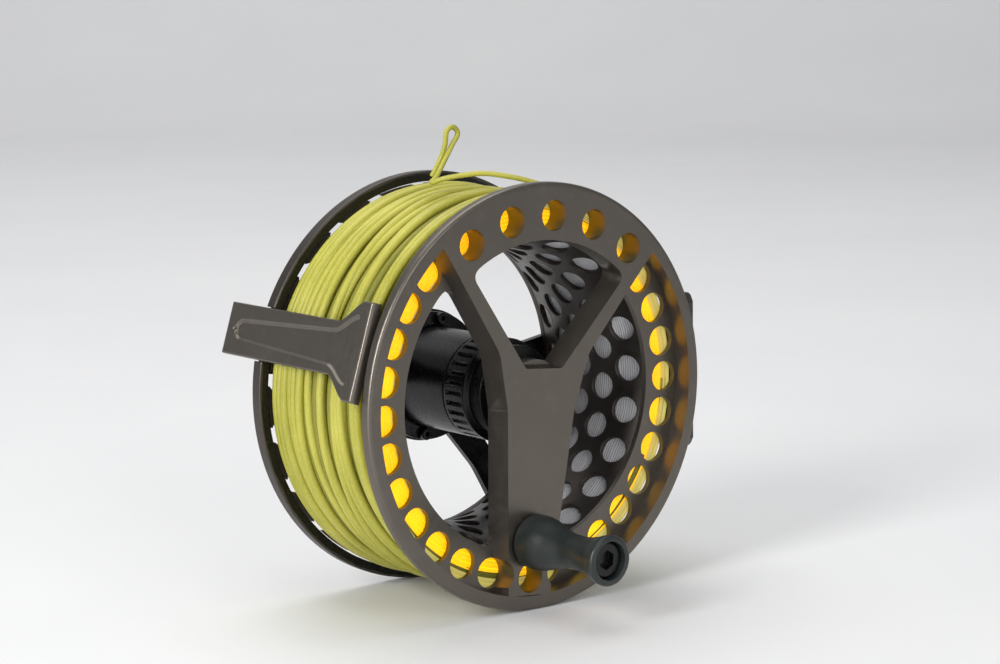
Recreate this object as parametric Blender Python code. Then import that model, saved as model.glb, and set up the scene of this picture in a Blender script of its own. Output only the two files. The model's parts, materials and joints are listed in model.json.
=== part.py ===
"""A large-arbor fly reel: a frame ring with a foot and a drag, and a perforated spool full of line.

Everything is built in reel coordinates first, in metres: the spindle lies along Y through the origin, the
spool's front face is at y = 0 and faces -Y, and angles are clockwise from +Z as seen from the front.
place_all() then moves the finished reel so that the foot's seat is the world origin.
"""

import math

import bmesh
import bpy
from mathutils import Vector

MM = 0.001

# Driving dimensions
RIM_R = 50 * MM                     # outside of the spool's front rim and of the frame's hoop
REEL_DEPTH = 45.8 * MM              # front face of the spool to the back of the frame
SPOOL_TURN = math.radians(4.7)      # where the spool has stopped
FOOT_ANGLE = math.radians(-73.2)    # direction of the foot from the spindle
GAP = 0.3 * MM                      # clearance between neighbouring pieces

# Spool face
FACE_DEPTH = 5.8 * MM
POCKET_DEPTH = 4.5 * MM
WEB_INNER_R = 0.733 * RIM_R
LIP_INNER_R = 0.94 * RIM_R
RIM_REAR_R = 0.948 * RIM_R
FACE_HOLE_R = 3.6 * MM
FACE_HOLE_RING_R = 0.846 * RIM_R
SIDE_HOLE_COUNT = 23                # round the bottom and the sides
SIDE_HOLE_STEP = math.radians(11.89)
TOP_HOLE_COUNT = 5                  # in the solid stretch between the two arms
TOP_HOLE_STEP = math.radians(17)
SPINDLE_R = 3.0 * MM
RUNNING_FIT = 0.05 * MM             # radial clearance of what turns on or slides over a pin
BEARING_SEAT_R = SPINDLE_R + 2.2 * MM
BEARING_SEAT_Y = 2.0 * MM
BOSS_R = BEARING_SEAT_R + 3.4 * MM
BOSS_END_Y = FACE_DEPTH + 2.7 * MM

# Back of the frame, and the perforated arbor and back flange in front of it
SPIDER_THICK = 1.8 * MM
SPIDER_FRONT_Y = REEL_DEPTH - SPIDER_THICK
BACK_FLANGE_THICK = 1.3 * MM
SPOOL_SEAM = 0.2 * MM               # between the arbor and the discs at its ends
BACK_FLANGE_Y = SPIDER_FRONT_Y - GAP - BACK_FLANGE_THICK - SPOOL_SEAM
ARBOR_WAIST_R = 0.668 * RIM_R
ARBOR_END_R = 0.745 * RIM_R
ARBOR_WALL = 1.1 * MM
ARBOR_FRONT_Y = FACE_DEPTH + SPOOL_SEAM
ARBOR_HOLE_R = 3.15 * MM
ARBOR_COLUMNS = 22
ARBOR_ROWS = 5
BACK_FLANGE_R = 0.942 * RIM_R
BACK_HOLE_COUNT = 22                # open notches in the flange's edge
BACK_HOLE_R = 3.2 * MM
BACK_HOLE_RING_R = 0.888 * RIM_R

# Frame
HOOP_INNER_R = BACK_FLANGE_R + 0.4 * MM
HOOP_FRONT_Y = REEL_DEPTH - 3.4 * MM
HOUSING_BORE_R = 10.6 * MM
HOUSING_WALL = 1.7 * MM
HOUSING_R = HOUSING_BORE_R + HOUSING_WALL
HUB_R = HOUSING_R + 3.9 * MM
ARM_ANGLES = [math.radians(87), math.radians(142), math.radians(286)]
ARM_HALF_WIDTHS = [3.2 * MM, 3.2 * MM, 6.0 * MM]
HOUSING_SCREW_RING_R = HOUSING_R + 1.9 * MM
SCREW_R = 1.0 * MM
SCREW_HEAD_R = 2.1 * MM
HOUSING_SCREW_HEAD_R = 1.5 * MM
HOUSING_SCREW_ANGLES = [math.radians(a) for a in (10, 100, 190, 280)]

# Foot and guard bar, both held by the hoop
FOOT_FACE = 1.012 * RIM_R           # spindle to the outer face of the foot
FOOT_THICK = 2.2 * MM
FOOT_REAR_Y = REEL_DEPTH + 12.2 * MM
FOOT_FRONT_Y = 4.1 * MM
FOOT_HALF_WIDTH = 6.2 * MM
FOOT_BAR_HALF_WIDTH = 11.4 * MM
FOOT_BAR_LENGTH = 4.2 * MM
FOOT_BAR_RISE = 0.5 * MM
FOOT_POCKET_DEPTH = 0.7 * MM
SEAT_Y = 30 * MM                    # middle of the foot's seat, which becomes the world origin
GUARD_ANGLE = math.radians(89)
GUARD_FACE = 1.045 * RIM_R
GUARD_HALF_LENGTH = 19.0 * MM
GUARD_HALF_WIDTH = 5.0 * MM
GUARD_THICK = 3.0 * MM
TAB_THICK = 2.4 * MM
TAB_REAR_Y = REEL_DEPTH + GAP + TAB_THICK
TAB_INNER = 0.80 * RIM_R
TAB_SCREW_R = 0.885 * RIM_R
FOOT_SCREW_SPREAD = 3.6 * MM
GUARD_SCREW_SPREAD = 2.7 * MM

# Drag
HOUSING_FRONT_Y = 21.6 * MM
HOUSING_FLANGE_THICK = 2.2 * MM
KNOB_R = HOUSING_R + 0.1 * MM
KNOB_FRONT_Y = BOSS_END_Y + 0.8 * MM
KNOB_TEETH = 32
SLEEVE_BORE_R = SPINDLE_R + 0.2 * MM
SLEEVE_R = SLEEVE_BORE_R + 1.1 * MM
CLUTCH_R = SLEEVE_R + 1.7 * MM
NUT_R = SPINDLE_R + 2.2 * MM
PLATE_TRAVEL = 0.6 * MM
CAVITY_FRONT_Y = HOUSING_FRONT_Y + 1.6 * MM
CAVITY_REAR_Y = SPIDER_FRONT_Y - 0.1 * MM - HOUSING_FLANGE_THICK
HOUSING_STEPS = 32                  # sides of the housing and of what fits in it

# Handle
HANDLE_RADIUS = 0.67 * RIM_R        # spindle to the handle's own axis
HANDLE_LENGTH = 27.2 * MM
HANDLE_PIN_R = 2.0 * MM
HANDLE_BORE_R = HANDLE_PIN_R + RUNNING_FIT
HANDLE_BASE_R = 6.4 * MM
HANDLE_WAIST_R = 3.9 * MM
HANDLE_END_R = 5.9 * MM
HANDLE_WELL = 3.6 * MM              # depth of the hole in the handle's end
PIN_HEAD_R = 4.0 * MM
PIN_HEAD_RECESS = 1.4 * MM

# Line
BACKING_R = 0.80 * RIM_R
RUNNING_LINE_R = 0.872 * RIM_R
FLY_LINE_R = 0.955 * RIM_R
LINE_END_DIAMETER = 1.25 * MM
LINE_END_STEPS = 3
LINE_END_PATH = [                   # in mm, from the winding to the tip of the loop and back
    (9.5, 9.5, 47.9), (6.5, 10.5, 48.8), (1.5, 12.5, 50.2), (-5.0, 16.0, 51.2), (-11.0, 21.0, 50.2),
    (-13.0, 24.5, 49.0), (-11.2, 25.2, 50.2), (-8.6, 25.0, 54.4), (-6.6, 25.0, 57.5), (-5.0, 25.0, 60.0),
    (-6.4, 25.0, 61.6), (-8.3, 25.0, 60.6), (-8.6, 25.2, 57.6), (-9.0, 26.4, 54.2), (-11.4, 26.6, 50.2),
]
WINDING_FRONT_Y = FACE_DEPTH + 0.4 * MM
WINDING_BACK_Y = BACK_FLANGE_Y - 0.4 * MM
WINDING_STEPS = 2 * ARBOR_COLUMNS   # the same for every ring of line, so that their flats line up

MATERIALS = {
    "gunmetal": ((0.125, 0.112, 0.10), 0.38, 0.9),
    "dark_gunmetal": ((0.085, 0.075, 0.07), 0.45, 0.85),
    "black_anodised": ((0.012, 0.012, 0.014), 0.18, 0.5),
    "black_plastic": ((0.012, 0.015, 0.015), 0.35, 0.0),
    "steel": ((0.55, 0.55, 0.54), 0.25, 1.0),
    "bronze": ((0.45, 0.30, 0.14), 0.35, 1.0),
    "friction_liner": ((0.20, 0.12, 0.07), 0.8, 0.0),
    "rubber": ((0.02, 0.02, 0.02), 0.7, 0.0),
    "white_backing": ((0.62, 0.62, 0.64), 0.85, 0.0),
    "orange_running_line": ((0.95, 0.50, 0.02), 0.5, 0.0),
    "green_fly_line": ((0.42, 0.45, 0.10), 0.5, 0.0),
}

nodes = {}      # name -> object


# ---------------------------------------------------------------- helpers

def clear_scene():
    for obj in list(bpy.data.objects):
        bpy.data.objects.remove(obj)


def material(slot):
    found = bpy.data.materials.get(slot)
    if found:
        return found
    colour, roughness, metallic = MATERIALS[slot]
    made = bpy.data.materials.new(slot)
    made.use_nodes = True
    shader = made.node_tree.nodes["Principled BSDF"]
    shader.inputs["Base Color"].default_value = (*colour, 1)
    shader.inputs["Roughness"].default_value = roughness
    shader.inputs["Metallic"].default_value = metallic
    return made


def to_object(name, bm, slot=None):
    """Turns a bmesh into an object; with a slot it becomes a node, without one it is a cutter."""
    bmesh.ops.recalc_face_normals(bm, faces=bm.faces)
    mesh = bpy.data.meshes.new(name)
    bm.to_mesh(mesh)
    bm.free()
    obj = bpy.data.objects.new(name, mesh)
    bpy.context.scene.collection.objects.link(obj)
    if slot:
        mesh.materials.append(material(slot))
        nodes[name] = obj
    return obj


def polar(radius, angle, y=0.0):
    """A point at this radius and clockwise angle from +Z."""
    return (radius * math.sin(angle), y, radius * math.cos(angle))


def add_turned(bm, profile, steps):
    """Adds the solid made by turning a closed outline of (radius, y) points about Y."""
    rings = []
    for radius, y in profile:
        if radius < 1e-7:
            rings.append([bm.verts.new((0, y, 0))])
        else:
            rings.append([bm.verts.new(polar(radius, math.tau * i / steps, y)) for i in range(steps)])
    for first, second in zip(rings, rings[1:] + rings[:1]):
        for i in range(steps):
            j = (i + 1) % steps
            corners = [first[i % len(first)], first[j % len(first)],
                       second[j % len(second)], second[i % len(second)]]
            unique = list(dict.fromkeys(corners))
            if len(unique) > 2:
                bm.faces.new(unique)


def turned(name, profile, steps=64, slot=None):
    bm = bmesh.new()
    add_turned(bm, profile, steps)
    return to_object(name, bm, slot)


def add_prism(bm, outline, place, low, high):
    """Adds a straight prism: outline is 2D points, and place(u, v, w) gives a 3D point at height w."""
    bottom = [bm.verts.new(place(u, v, low)) for u, v in outline]
    top = [bm.verts.new(place(u, v, high)) for u, v in outline]
    bm.faces.new(bottom)
    bm.faces.new(top)
    for i in range(len(outline)):
        j = (i + 1) % len(outline)
        bm.faces.new([bottom[i], bottom[j], top[j], top[i]])


def along_spindle(u, v, w):
    return (u, w, v)


def outward(angle):
    """Prism placing for a plate square to the radius at this angle: u tangential, v along Y, w outward."""
    def place(u, v, w):
        return (
            w * math.sin(angle) + u * math.cos(angle),
            v,
            w * math.cos(angle) - u * math.sin(angle),
        )
    return place


def circle(radius, steps, centre=(0.0, 0.0), phase=0.0):
    return [
        (centre[0] + radius * math.sin(phase + math.tau * i / steps),
         centre[1] + radius * math.cos(phase + math.tau * i / steps))
        for i in range(steps)
    ]


def rounded(corners, steps=4):
    """Rounds the corners of an outline of (x, y, fillet radius)."""
    points = []
    count = len(corners)
    for i, (x, y, fillet) in enumerate(corners):
        before = corners[i - 1]
        after = corners[(i + 1) % count]
        if fillet == 0:
            points.append((x, y))
            continue
        to_before = (before[0] - x, before[1] - y)
        to_after = (after[0] - x, after[1] - y)
        length_before = math.hypot(*to_before)
        length_after = math.hypot(*to_after)
        cosine = (to_before[0] * to_after[0] + to_before[1] * to_after[1]) / (length_before * length_after)
        reach = fillet / math.tan(math.acos(cosine) / 2)
        start = (x + to_before[0] / length_before * reach, y + to_before[1] / length_before * reach)
        end = (x + to_after[0] / length_after * reach, y + to_after[1] / length_after * reach)
        for step in range(steps + 1):
            t = step / steps
            points.append((
                (1 - t) ** 2 * start[0] + 2 * t * (1 - t) * x + t * t * end[0],
                (1 - t) ** 2 * start[1] + 2 * t * (1 - t) * y + t * t * end[1],
            ))
    return points


def mirrored(half):
    """Closes a right-hand half outline, given top to bottom, with its mirror image."""
    return half + [(-x, y, fillet) for x, y, fillet in reversed(half)]


def apply_boolean(target, cutter, operation, solver="EXACT"):
    modifier = target.modifiers.new(operation.lower(), "BOOLEAN")
    modifier.operation = operation
    modifier.solver = solver
    modifier.object = cutter
    graph = bpy.context.evaluated_depsgraph_get()
    result = bpy.data.meshes.new_from_object(target.evaluated_get(graph))
    target.modifiers.clear()
    old = target.data
    target.data = result
    bpy.data.meshes.remove(old)
    bpy.data.objects.remove(cutter)


def smooth(obj, degrees=35):
    obj.data.shade_smooth()
    obj.data.set_sharp_from_angle(angle=math.radians(degrees))


def turn_about_spindle(obj, angle):
    """Turns the mesh clockwise, as seen from the front."""
    cosine, sine = math.cos(angle), math.sin(angle)
    for vertex in obj.data.vertices:
        x, y, z = vertex.co
        vertex.co = (x * cosine + z * sine, y, z * cosine - x * sine)


# ---------------------------------------------------------------- spool

def spoke_outline(grow=0.0):
    """The Y of the spool's face: two arms and a broad tail, joined at the hub, in local angles."""
    reach = LIP_INNER_R + 1.0 * MM
    corners = [                     # as parts of the rim's radius
        (0.098, 0.160, 0.02),
        (0.440, 0.576, 0),
        (0.570, 0.732, 0),
        (0.664, 0.680, 0),
        (0.592, 0.592, 0),
        (0.284, 0.196, 0.12),
        (0.224, -0.060, 0.08),
        (0.148, -reach / RIM_R, 0),
    ]
    return rounded(mirrored([
        (x * RIM_R + grow, y * RIM_R, fillet * RIM_R) for x, y, fillet in corners]))


def solid_top_outline():
    """The full-thickness stretch of rim between the two arms, with some overlap into the lip."""
    reach = LIP_INNER_R + 1.5 * MM
    half_angle = math.radians(43)
    steps = 16
    arc = [
        (reach * math.sin(a), reach * math.cos(a))
        for a in [half_angle - 2 * half_angle * i / steps for i in range(steps + 1)]
    ]
    inner = 0.6 * RIM_R
    return arc + [(-inner * math.sin(half_angle), inner * math.cos(half_angle)),
                  (inner * math.sin(half_angle), inner * math.cos(half_angle))]


def face_holes():
    """Local angle of every hole round the spool's face."""
    half = SIDE_HOLE_COUNT // 2
    sides = [math.pi + SIDE_HOLE_STEP * i for i in range(-half, half + 1)]
    top = [TOP_HOLE_STEP * (i - TOP_HOLE_COUNT // 2) for i in range(TOP_HOLE_COUNT)]
    return sides + top


def make_spool_face():
    face = turned("spool_face", [
        (0, 0), (RIM_R - 1.2 * MM, 0), (RIM_R - 0.35 * MM, 0.35 * MM), (RIM_R, 1.1 * MM),
        (RIM_R, 2.2 * MM), (RIM_R - 0.4 * MM, 2.9 * MM), (RIM_R - 1.8 * MM, 3.6 * MM),
        (RIM_REAR_R, FACE_DEPTH), (0, FACE_DEPTH),
    ], 48, "gunmetal")
    pocket = turned("pocket", [
        (0, -MM), (LIP_INNER_R, -MM), (LIP_INNER_R, POCKET_DEPTH), (0, POCKET_DEPTH)], 48)
    through = FACE_DEPTH + MM
    windows = turned("windows", [(0, -MM), (WEB_INNER_R, -MM), (WEB_INNER_R, through), (0, through)], 44)
    step = 0.05 * MM        # keeps the walls of the two cutters from coinciding
    kept_in_pocket = (spoke_outline(step), solid_top_outline())
    kept_in_windows = (spoke_outline(),)
    for cutter, outlines in ((pocket, kept_in_pocket), (windows, kept_in_windows)):
        for outline in outlines:
            bm = bmesh.new()
            add_prism(bm, outline, along_spindle, -2 * MM, FACE_DEPTH + 2 * MM)
            apply_boolean(cutter, to_object("kept", bm), "DIFFERENCE", "MANIFOLD")
        apply_boolean(face, cutter, "DIFFERENCE", "MANIFOLD")
    boss = turned("boss", [(0, 3 * MM), (BOSS_R, 3 * MM), (BOSS_R, BOSS_END_Y), (0, BOSS_END_Y)], 32)
    apply_boolean(face, boss, "UNION", "MANIFOLD")
    bm = bmesh.new()
    for angle in face_holes():
        centre = (FACE_HOLE_RING_R * math.sin(angle), FACE_HOLE_RING_R * math.cos(angle))
        add_prism(bm, circle(FACE_HOLE_R, 10, centre), along_spindle, -MM, FACE_DEPTH + MM)
    add_prism(bm, circle(HANDLE_BORE_R, 16, (0, -HANDLE_RADIUS)), along_spindle, -MM, FACE_DEPTH + MM)
    add_prism(bm, circle(BEARING_SEAT_R, 24), along_spindle, BEARING_SEAT_Y, BOSS_END_Y + MM)
    apply_boolean(face, to_object("holes", bm), "DIFFERENCE", "MANIFOLD")
    smooth(face)


def arbor_radius(y):
    """Inner radius of the arbor: a shallow waist, as a circular arc between its two ends."""
    middle = (ARBOR_FRONT_Y + BACK_FLANGE_Y) / 2
    t = (y - middle) / (BACK_FLANGE_Y - middle)
    return ARBOR_WAIST_R + (ARBOR_END_R - ARBOR_WAIST_R) * t * t


def arbor_line(offset):
    """The arbor's profile from front to back, this far outside its inner surface."""
    steps = 3
    ys = [ARBOR_FRONT_Y + (BACK_FLANGE_Y - ARBOR_FRONT_Y) * i / steps for i in range(steps + 1)]
    return [(arbor_radius(y) + offset, y) for y in ys]


def make_spool_arbor():
    profile = arbor_line(0) + arbor_line(ARBOR_WALL)[::-1]
    arbor = turned("spool_arbor", profile, 2 * ARBOR_COLUMNS, "dark_gunmetal")
    pitch = (BACK_FLANGE_Y - ARBOR_FRONT_Y) / (ARBOR_ROWS + 0.1)
    bm = bmesh.new()
    for row in range(ARBOR_ROWS):
        y = ARBOR_FRONT_Y + pitch * (row + 0.6)
        for column in range(ARBOR_COLUMNS):
            angle = math.tau * (column + 0.5 * (row % 2)) / ARBOR_COLUMNS
            add_prism(bm, circle(ARBOR_HOLE_R, 8, (0, y)), outward(angle), 0.55 * RIM_R, 0.85 * RIM_R)
    apply_boolean(arbor, to_object("perforations", bm), "DIFFERENCE")
    smooth(arbor)


def make_spool_back_flange():
    inner = arbor_radius(BACK_FLANGE_Y)
    front = BACK_FLANGE_Y + SPOOL_SEAM
    back = front + BACK_FLANGE_THICK
    flange = turned("spool_back_flange", [
        (inner, front), (BACK_FLANGE_R - 0.4 * MM, front), (BACK_FLANGE_R, front + 0.4 * MM),
        (BACK_FLANGE_R, back), (inner, back),
    ], 44, "dark_gunmetal")
    bm = bmesh.new()
    for i in range(BACK_HOLE_COUNT):
        angle = math.tau * (i + 0.5) / BACK_HOLE_COUNT
        centre = (BACK_HOLE_RING_R * math.sin(angle), BACK_HOLE_RING_R * math.cos(angle))
        add_prism(bm, circle(BACK_HOLE_R, 8, centre), along_spindle, front - MM, back + MM)
    apply_boolean(flange, to_object("back_holes", bm), "DIFFERENCE")
    smooth(flange)


def make_windings():
    """The three layers on the arbor, each as one turned ring."""
    floor = arbor_line(ARBOR_WALL + GAP)
    ends = [(floor[0][0], WINDING_FRONT_Y), (floor[-1][0], WINDING_BACK_Y)]
    top = [(BACKING_R, WINDING_BACK_Y), (BACKING_R, WINDING_FRONT_Y)]
    profile = ends[:1] + floor[1:-1] + ends[1:] + top
    smooth(turned("backing_winding", profile, WINDING_STEPS, "white_backing"))
    layers = [
        ("running_line_winding", BACKING_R + 0.1 * MM, RUNNING_LINE_R, "orange_running_line"),
        ("fly_line_winding", RUNNING_LINE_R + 0.1 * MM, FLY_LINE_R, "green_fly_line"),
    ]
    for name, low, high, slot in layers:
        smooth(turned(name, [
            (low, WINDING_FRONT_Y), (low, WINDING_BACK_Y), (high - 0.4 * MM, WINDING_BACK_Y),
            (high, WINDING_BACK_Y - 0.8 * MM), (high, WINDING_FRONT_Y + 0.8 * MM),
            (high - 0.4 * MM, WINDING_FRONT_Y),
        ], WINDING_STEPS, slot))


# ---------------------------------------------------------------- handle

def move_mesh(obj, x, z):
    for vertex in obj.data.vertices:
        vertex.co.x += x
        vertex.co.z += z


def make_handle():
    rear = -0.4 * MM
    end = -HANDLE_LENGTH
    grip = turned("handle_grip", [
        (HANDLE_BORE_R, rear), (HANDLE_BASE_R - 0.5 * MM, rear), (HANDLE_BASE_R, rear - 0.6 * MM),
        (HANDLE_BASE_R, rear - 3.0 * MM), (HANDLE_BASE_R - 0.5 * MM, rear - 5.2 * MM),
        (HANDLE_WAIST_R + 0.9 * MM, rear - 9.6 * MM), (HANDLE_WAIST_R, rear - 14.0 * MM),
        (HANDLE_WAIST_R + 0.1 * MM, end + 9.2 * MM), (HANDLE_WAIST_R + 0.8 * MM, end + 5.4 * MM),
        (HANDLE_END_R - 0.2 * MM, end + 2.6 * MM), (HANDLE_END_R, end + 1.2 * MM),
        (HANDLE_END_R - 0.3 * MM, end + 0.3 * MM), (HANDLE_END_R - 0.9 * MM, end),
        (PIN_HEAD_R + 0.4 * MM, end), (PIN_HEAD_R + 0.3 * MM, end + HANDLE_WELL),
        (HANDLE_BORE_R, end + HANDLE_WELL),
    ], 28, "black_plastic")
    head = end + PIN_HEAD_RECESS
    shoulder = end + HANDLE_WELL - 0.2 * MM
    pin = turned("handle_pin", [
        (0, head), (PIN_HEAD_R - 0.3 * MM, head), (PIN_HEAD_R, head + 0.3 * MM), (PIN_HEAD_R, shoulder),
        (HANDLE_PIN_R, shoulder), (HANDLE_PIN_R, FACE_DEPTH - 0.3 * MM), (0, FACE_DEPTH - 0.3 * MM),
    ], 24, "black_anodised")
    bm = bmesh.new()
    add_prism(bm, circle(2.3 * MM, 6), along_spindle, head - MM, head + 1.6 * MM)
    apply_boolean(pin, to_object("hex_socket", bm), "DIFFERENCE")
    for obj in (grip, pin):
        move_mesh(obj, 0, -HANDLE_RADIUS)
        smooth(obj)


# ---------------------------------------------------------------- frame

def make_frame():
    frame = turned("frame", [
        (HOOP_INNER_R, HOOP_FRONT_Y), (RIM_R - 0.5 * MM, HOOP_FRONT_Y), (RIM_R, HOOP_FRONT_Y + 0.5 * MM),
        (RIM_R, REEL_DEPTH - 0.6 * MM), (RIM_R - 0.6 * MM, REEL_DEPTH),
        (HOOP_INNER_R, REEL_DEPTH),
    ], 48, "dark_gunmetal")
    hub = turned("hub", [
        (0, SPIDER_FRONT_Y), (HUB_R, SPIDER_FRONT_Y), (HUB_R, REEL_DEPTH), (0, REEL_DEPTH)], 32)
    reach = HOOP_INNER_R + 1.2 * MM
    for angle, half_width in zip(ARM_ANGLES, ARM_HALF_WIDTHS):
        bm = bmesh.new()
        outline = rounded([
            (-half_width - 1.5 * MM, 0, 0), (-half_width, 0.6 * reach, 20 * MM),
            (-half_width - 2.5 * MM, reach, 0), (half_width + 2.5 * MM, reach, 0),
            (half_width, 0.6 * reach, 20 * MM), (half_width + 1.5 * MM, 0, 0),
        ])
        turn = [(u * math.cos(angle) + v * math.sin(angle), v * math.cos(angle) - u * math.sin(angle))
                for u, v in outline]
        add_prism(bm, turn, along_spindle, SPIDER_FRONT_Y, REEL_DEPTH)
        apply_boolean(hub, to_object("arm", bm), "UNION")
    apply_boolean(frame, hub, "UNION")
    bm = bmesh.new()
    add_prism(bm, circle(SPINDLE_R + RUNNING_FIT, 24), along_spindle, SPIDER_FRONT_Y - MM, REEL_DEPTH + MM)
    for angle in HOUSING_SCREW_ANGLES:
        centre = (HOUSING_SCREW_RING_R * math.sin(angle), HOUSING_SCREW_RING_R * math.cos(angle))
        add_screw_hole(bm, centre, SPIDER_FRONT_Y - MM, REEL_DEPTH + MM)
    add_plate_slot(bm, FOOT_ANGLE, FOOT_HALF_WIDTH, FOOT_FACE - FOOT_THICK)
    add_plate_slot(bm, GUARD_ANGLE, GUARD_HALF_WIDTH, GUARD_FACE - GUARD_THICK)
    for angle, spread in ((FOOT_ANGLE, FOOT_SCREW_SPREAD), (GUARD_ANGLE, GUARD_SCREW_SPREAD)):
        for side in (-1, 1):
            add_screw_hole(bm, tab_screw_centre(angle, side * spread), SPIDER_FRONT_Y - MM, REEL_DEPTH + MM)
    apply_boolean(frame, to_object("frame_cuts", bm), "DIFFERENCE")
    smooth(frame)


def add_screw_hole(bm, centre, low, high):
    add_prism(bm, circle(SCREW_R + RUNNING_FIT, 12, centre), along_spindle, low, high)


def tab_screw_centre(angle, sideways):
    """Position, seen from the front, of a screw that holds a plate's rear tab to the spider."""
    return (
        TAB_SCREW_R * math.sin(angle) + sideways * math.cos(angle),
        TAB_SCREW_R * math.cos(angle) - sideways * math.sin(angle),
    )


def add_plate_slot(bm, angle, half_width, depth):
    """Cutter for the flat-bottomed slot across the hoop that a plate lies in."""
    side = half_width + GAP
    front = HOOP_FRONT_Y - MM
    rear = REEL_DEPTH + MM
    outline = [(-side, front), (side, front), (side, rear), (-side, rear)]
    add_prism(bm, outline, outward(angle), depth - GAP, RIM_R + 5 * MM)


def make_plate(name, angle, outline, face, thick, half_width, spread, slot):
    """A plate over the spool, with a tab behind the hoop that two screws hold to the spider."""
    bm = bmesh.new()
    add_prism(bm, outline, outward(angle), face - thick, face)
    plate = to_object(name, bm, slot)
    bm = bmesh.new()
    side = half_width - 0.3 * MM
    tab = [(-side, REEL_DEPTH + GAP), (side, REEL_DEPTH + GAP), (side, TAB_REAR_Y), (-side, TAB_REAR_Y)]
    add_prism(bm, tab, outward(angle), TAB_INNER, face - thick / 2)
    apply_boolean(plate, to_object("tab", bm), "UNION")
    bm = bmesh.new()
    for side in (-1, 1):
        centre = tab_screw_centre(angle, side * spread)
        add_screw_hole(bm, centre, REEL_DEPTH, TAB_REAR_Y - 0.5 * MM)
        recess = circle(SCREW_HEAD_R + 0.1 * MM, 16, centre)
        add_prism(bm, recess, along_spindle, TAB_REAR_Y - 1.2 * MM, TAB_REAR_Y + MM)
    cut = to_object("tab_holes", bm)
    union_self(cut)
    apply_boolean(plate, cut, "DIFFERENCE")
    return plate


def union_self(obj):
    """Merges the overlapping shells of a cutter into one."""
    modifier = obj.modifiers.new("merge", "BOOLEAN")
    modifier.operation = "UNION"
    modifier.solver = "EXACT"
    modifier.use_self = True
    modifier.operand_type = "COLLECTION"
    graph = bpy.context.evaluated_depsgraph_get()
    obj.data = bpy.data.meshes.new_from_object(obj.evaluated_get(graph))
    obj.modifiers.clear()


def make_foot():
    bar_rear = FOOT_FRONT_Y + FOOT_BAR_LENGTH
    outline = rounded(mirrored([
        (FOOT_BAR_HALF_WIDTH, FOOT_FRONT_Y, 0),
        (FOOT_BAR_HALF_WIDTH, bar_rear - 1.0 * MM, 0.8 * MM),
        (FOOT_HALF_WIDTH, bar_rear + 6.8 * MM, 9 * MM),
        (FOOT_HALF_WIDTH, FOOT_REAR_Y, 0),
    ]))
    foot = make_plate("foot", FOOT_ANGLE, outline, FOOT_FACE, FOOT_THICK, FOOT_HALF_WIDTH,
                      FOOT_SCREW_SPREAD, "gunmetal")
    bm = bmesh.new()
    pocket = rounded(mirrored([
        (FOOT_BAR_HALF_WIDTH - 3.0 * MM, bar_rear - 0.6 * MM, 0),
        (3.9 * MM, bar_rear + 8.0 * MM, 9 * MM),
        (2.1 * MM, FOOT_REAR_Y - 3.6 * MM, 1.4 * MM),
    ]))
    add_prism(bm, pocket, outward(FOOT_ANGLE), FOOT_FACE - FOOT_POCKET_DEPTH, FOOT_FACE + MM)
    apply_boolean(foot, to_object("foot_pocket", bm), "DIFFERENCE")
    bm = bmesh.new()
    steps = 8
    place = outward(FOOT_ANGLE)
    inset = 0.1 * MM
    middle = FOOT_FRONT_Y + FOOT_BAR_LENGTH / 2
    half = FOOT_BAR_LENGTH / 2 - inset
    foot_of_bar = FOOT_FACE - 1.2 * MM
    section = [(middle - half, foot_of_bar)] + [
        (middle - half * math.cos(math.pi * i / steps),
         FOOT_FACE - 0.5 * MM + (FOOT_BAR_RISE + 0.5 * MM) * math.sin(math.pi * i / steps))
        for i in range(steps + 1)
    ] + [(middle + half, foot_of_bar)]
    reach = FOOT_BAR_HALF_WIDTH - inset
    add_prism(bm, section, lambda y, out, along: place(along, y, out), -reach, reach)
    apply_boolean(foot, to_object("foot_bar", bm), "UNION")
    smooth(foot)


def make_rim_guard():
    bar_rear = FOOT_FRONT_Y + 4 * MM
    outline = rounded(mirrored([
        (GUARD_HALF_LENGTH - 2 * MM, FOOT_FRONT_Y, 0),
        (GUARD_HALF_LENGTH, FOOT_FRONT_Y + 1.5 * MM, 0),
        (GUARD_HALF_LENGTH, bar_rear, 1 * MM),
        (GUARD_HALF_WIDTH, bar_rear + 9 * MM, 9 * MM),
        (GUARD_HALF_WIDTH, TAB_REAR_Y + 0.3 * MM, 0),
    ]))
    guard = make_plate("rim_guard", GUARD_ANGLE, outline, GUARD_FACE, GUARD_THICK, GUARD_HALF_WIDTH,
                       GUARD_SCREW_SPREAD, "dark_gunmetal")
    smooth(guard)


def make_screw(name, centre, head_front, head_rear, tip, head_r, slot="steel"):
    """A cap screw along the spindle: the head lies between two depths, and the shank runs to the tip."""
    screw = turned(name, [
        (0, head_rear), (head_r, head_rear), (head_r, head_front),
        (SCREW_R, head_front), (SCREW_R, tip), (0, tip),
    ], 12, slot)
    bm = bmesh.new()
    socket = 0.6 * (head_front - head_rear)
    low, high = sorted((head_rear - 0.5 * socket, head_rear + socket))
    add_prism(bm, circle(0.5 * head_r, 6), along_spindle, low, high)
    apply_boolean(screw, to_object("socket", bm), "DIFFERENCE")
    move_mesh(screw, *centre)
    smooth(screw)


def make_plate_screws():
    front = TAB_REAR_Y - 1.1 * MM
    rear = TAB_REAR_Y - 0.1 * MM
    tip = SPIDER_FRONT_Y + 0.3 * MM
    plates = [("foot", FOOT_ANGLE, FOOT_SCREW_SPREAD), ("rim_guard", GUARD_ANGLE, GUARD_SCREW_SPREAD)]
    for name, angle, spread in plates:
        for number, side in ((1, -1), (2, 1)):
            centre = tab_screw_centre(angle, side * spread)
            make_screw(f"{name}_screw_{number}", centre, front, rear, tip, SCREW_HEAD_R)


# ---------------------------------------------------------------- spindle and drag

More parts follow.
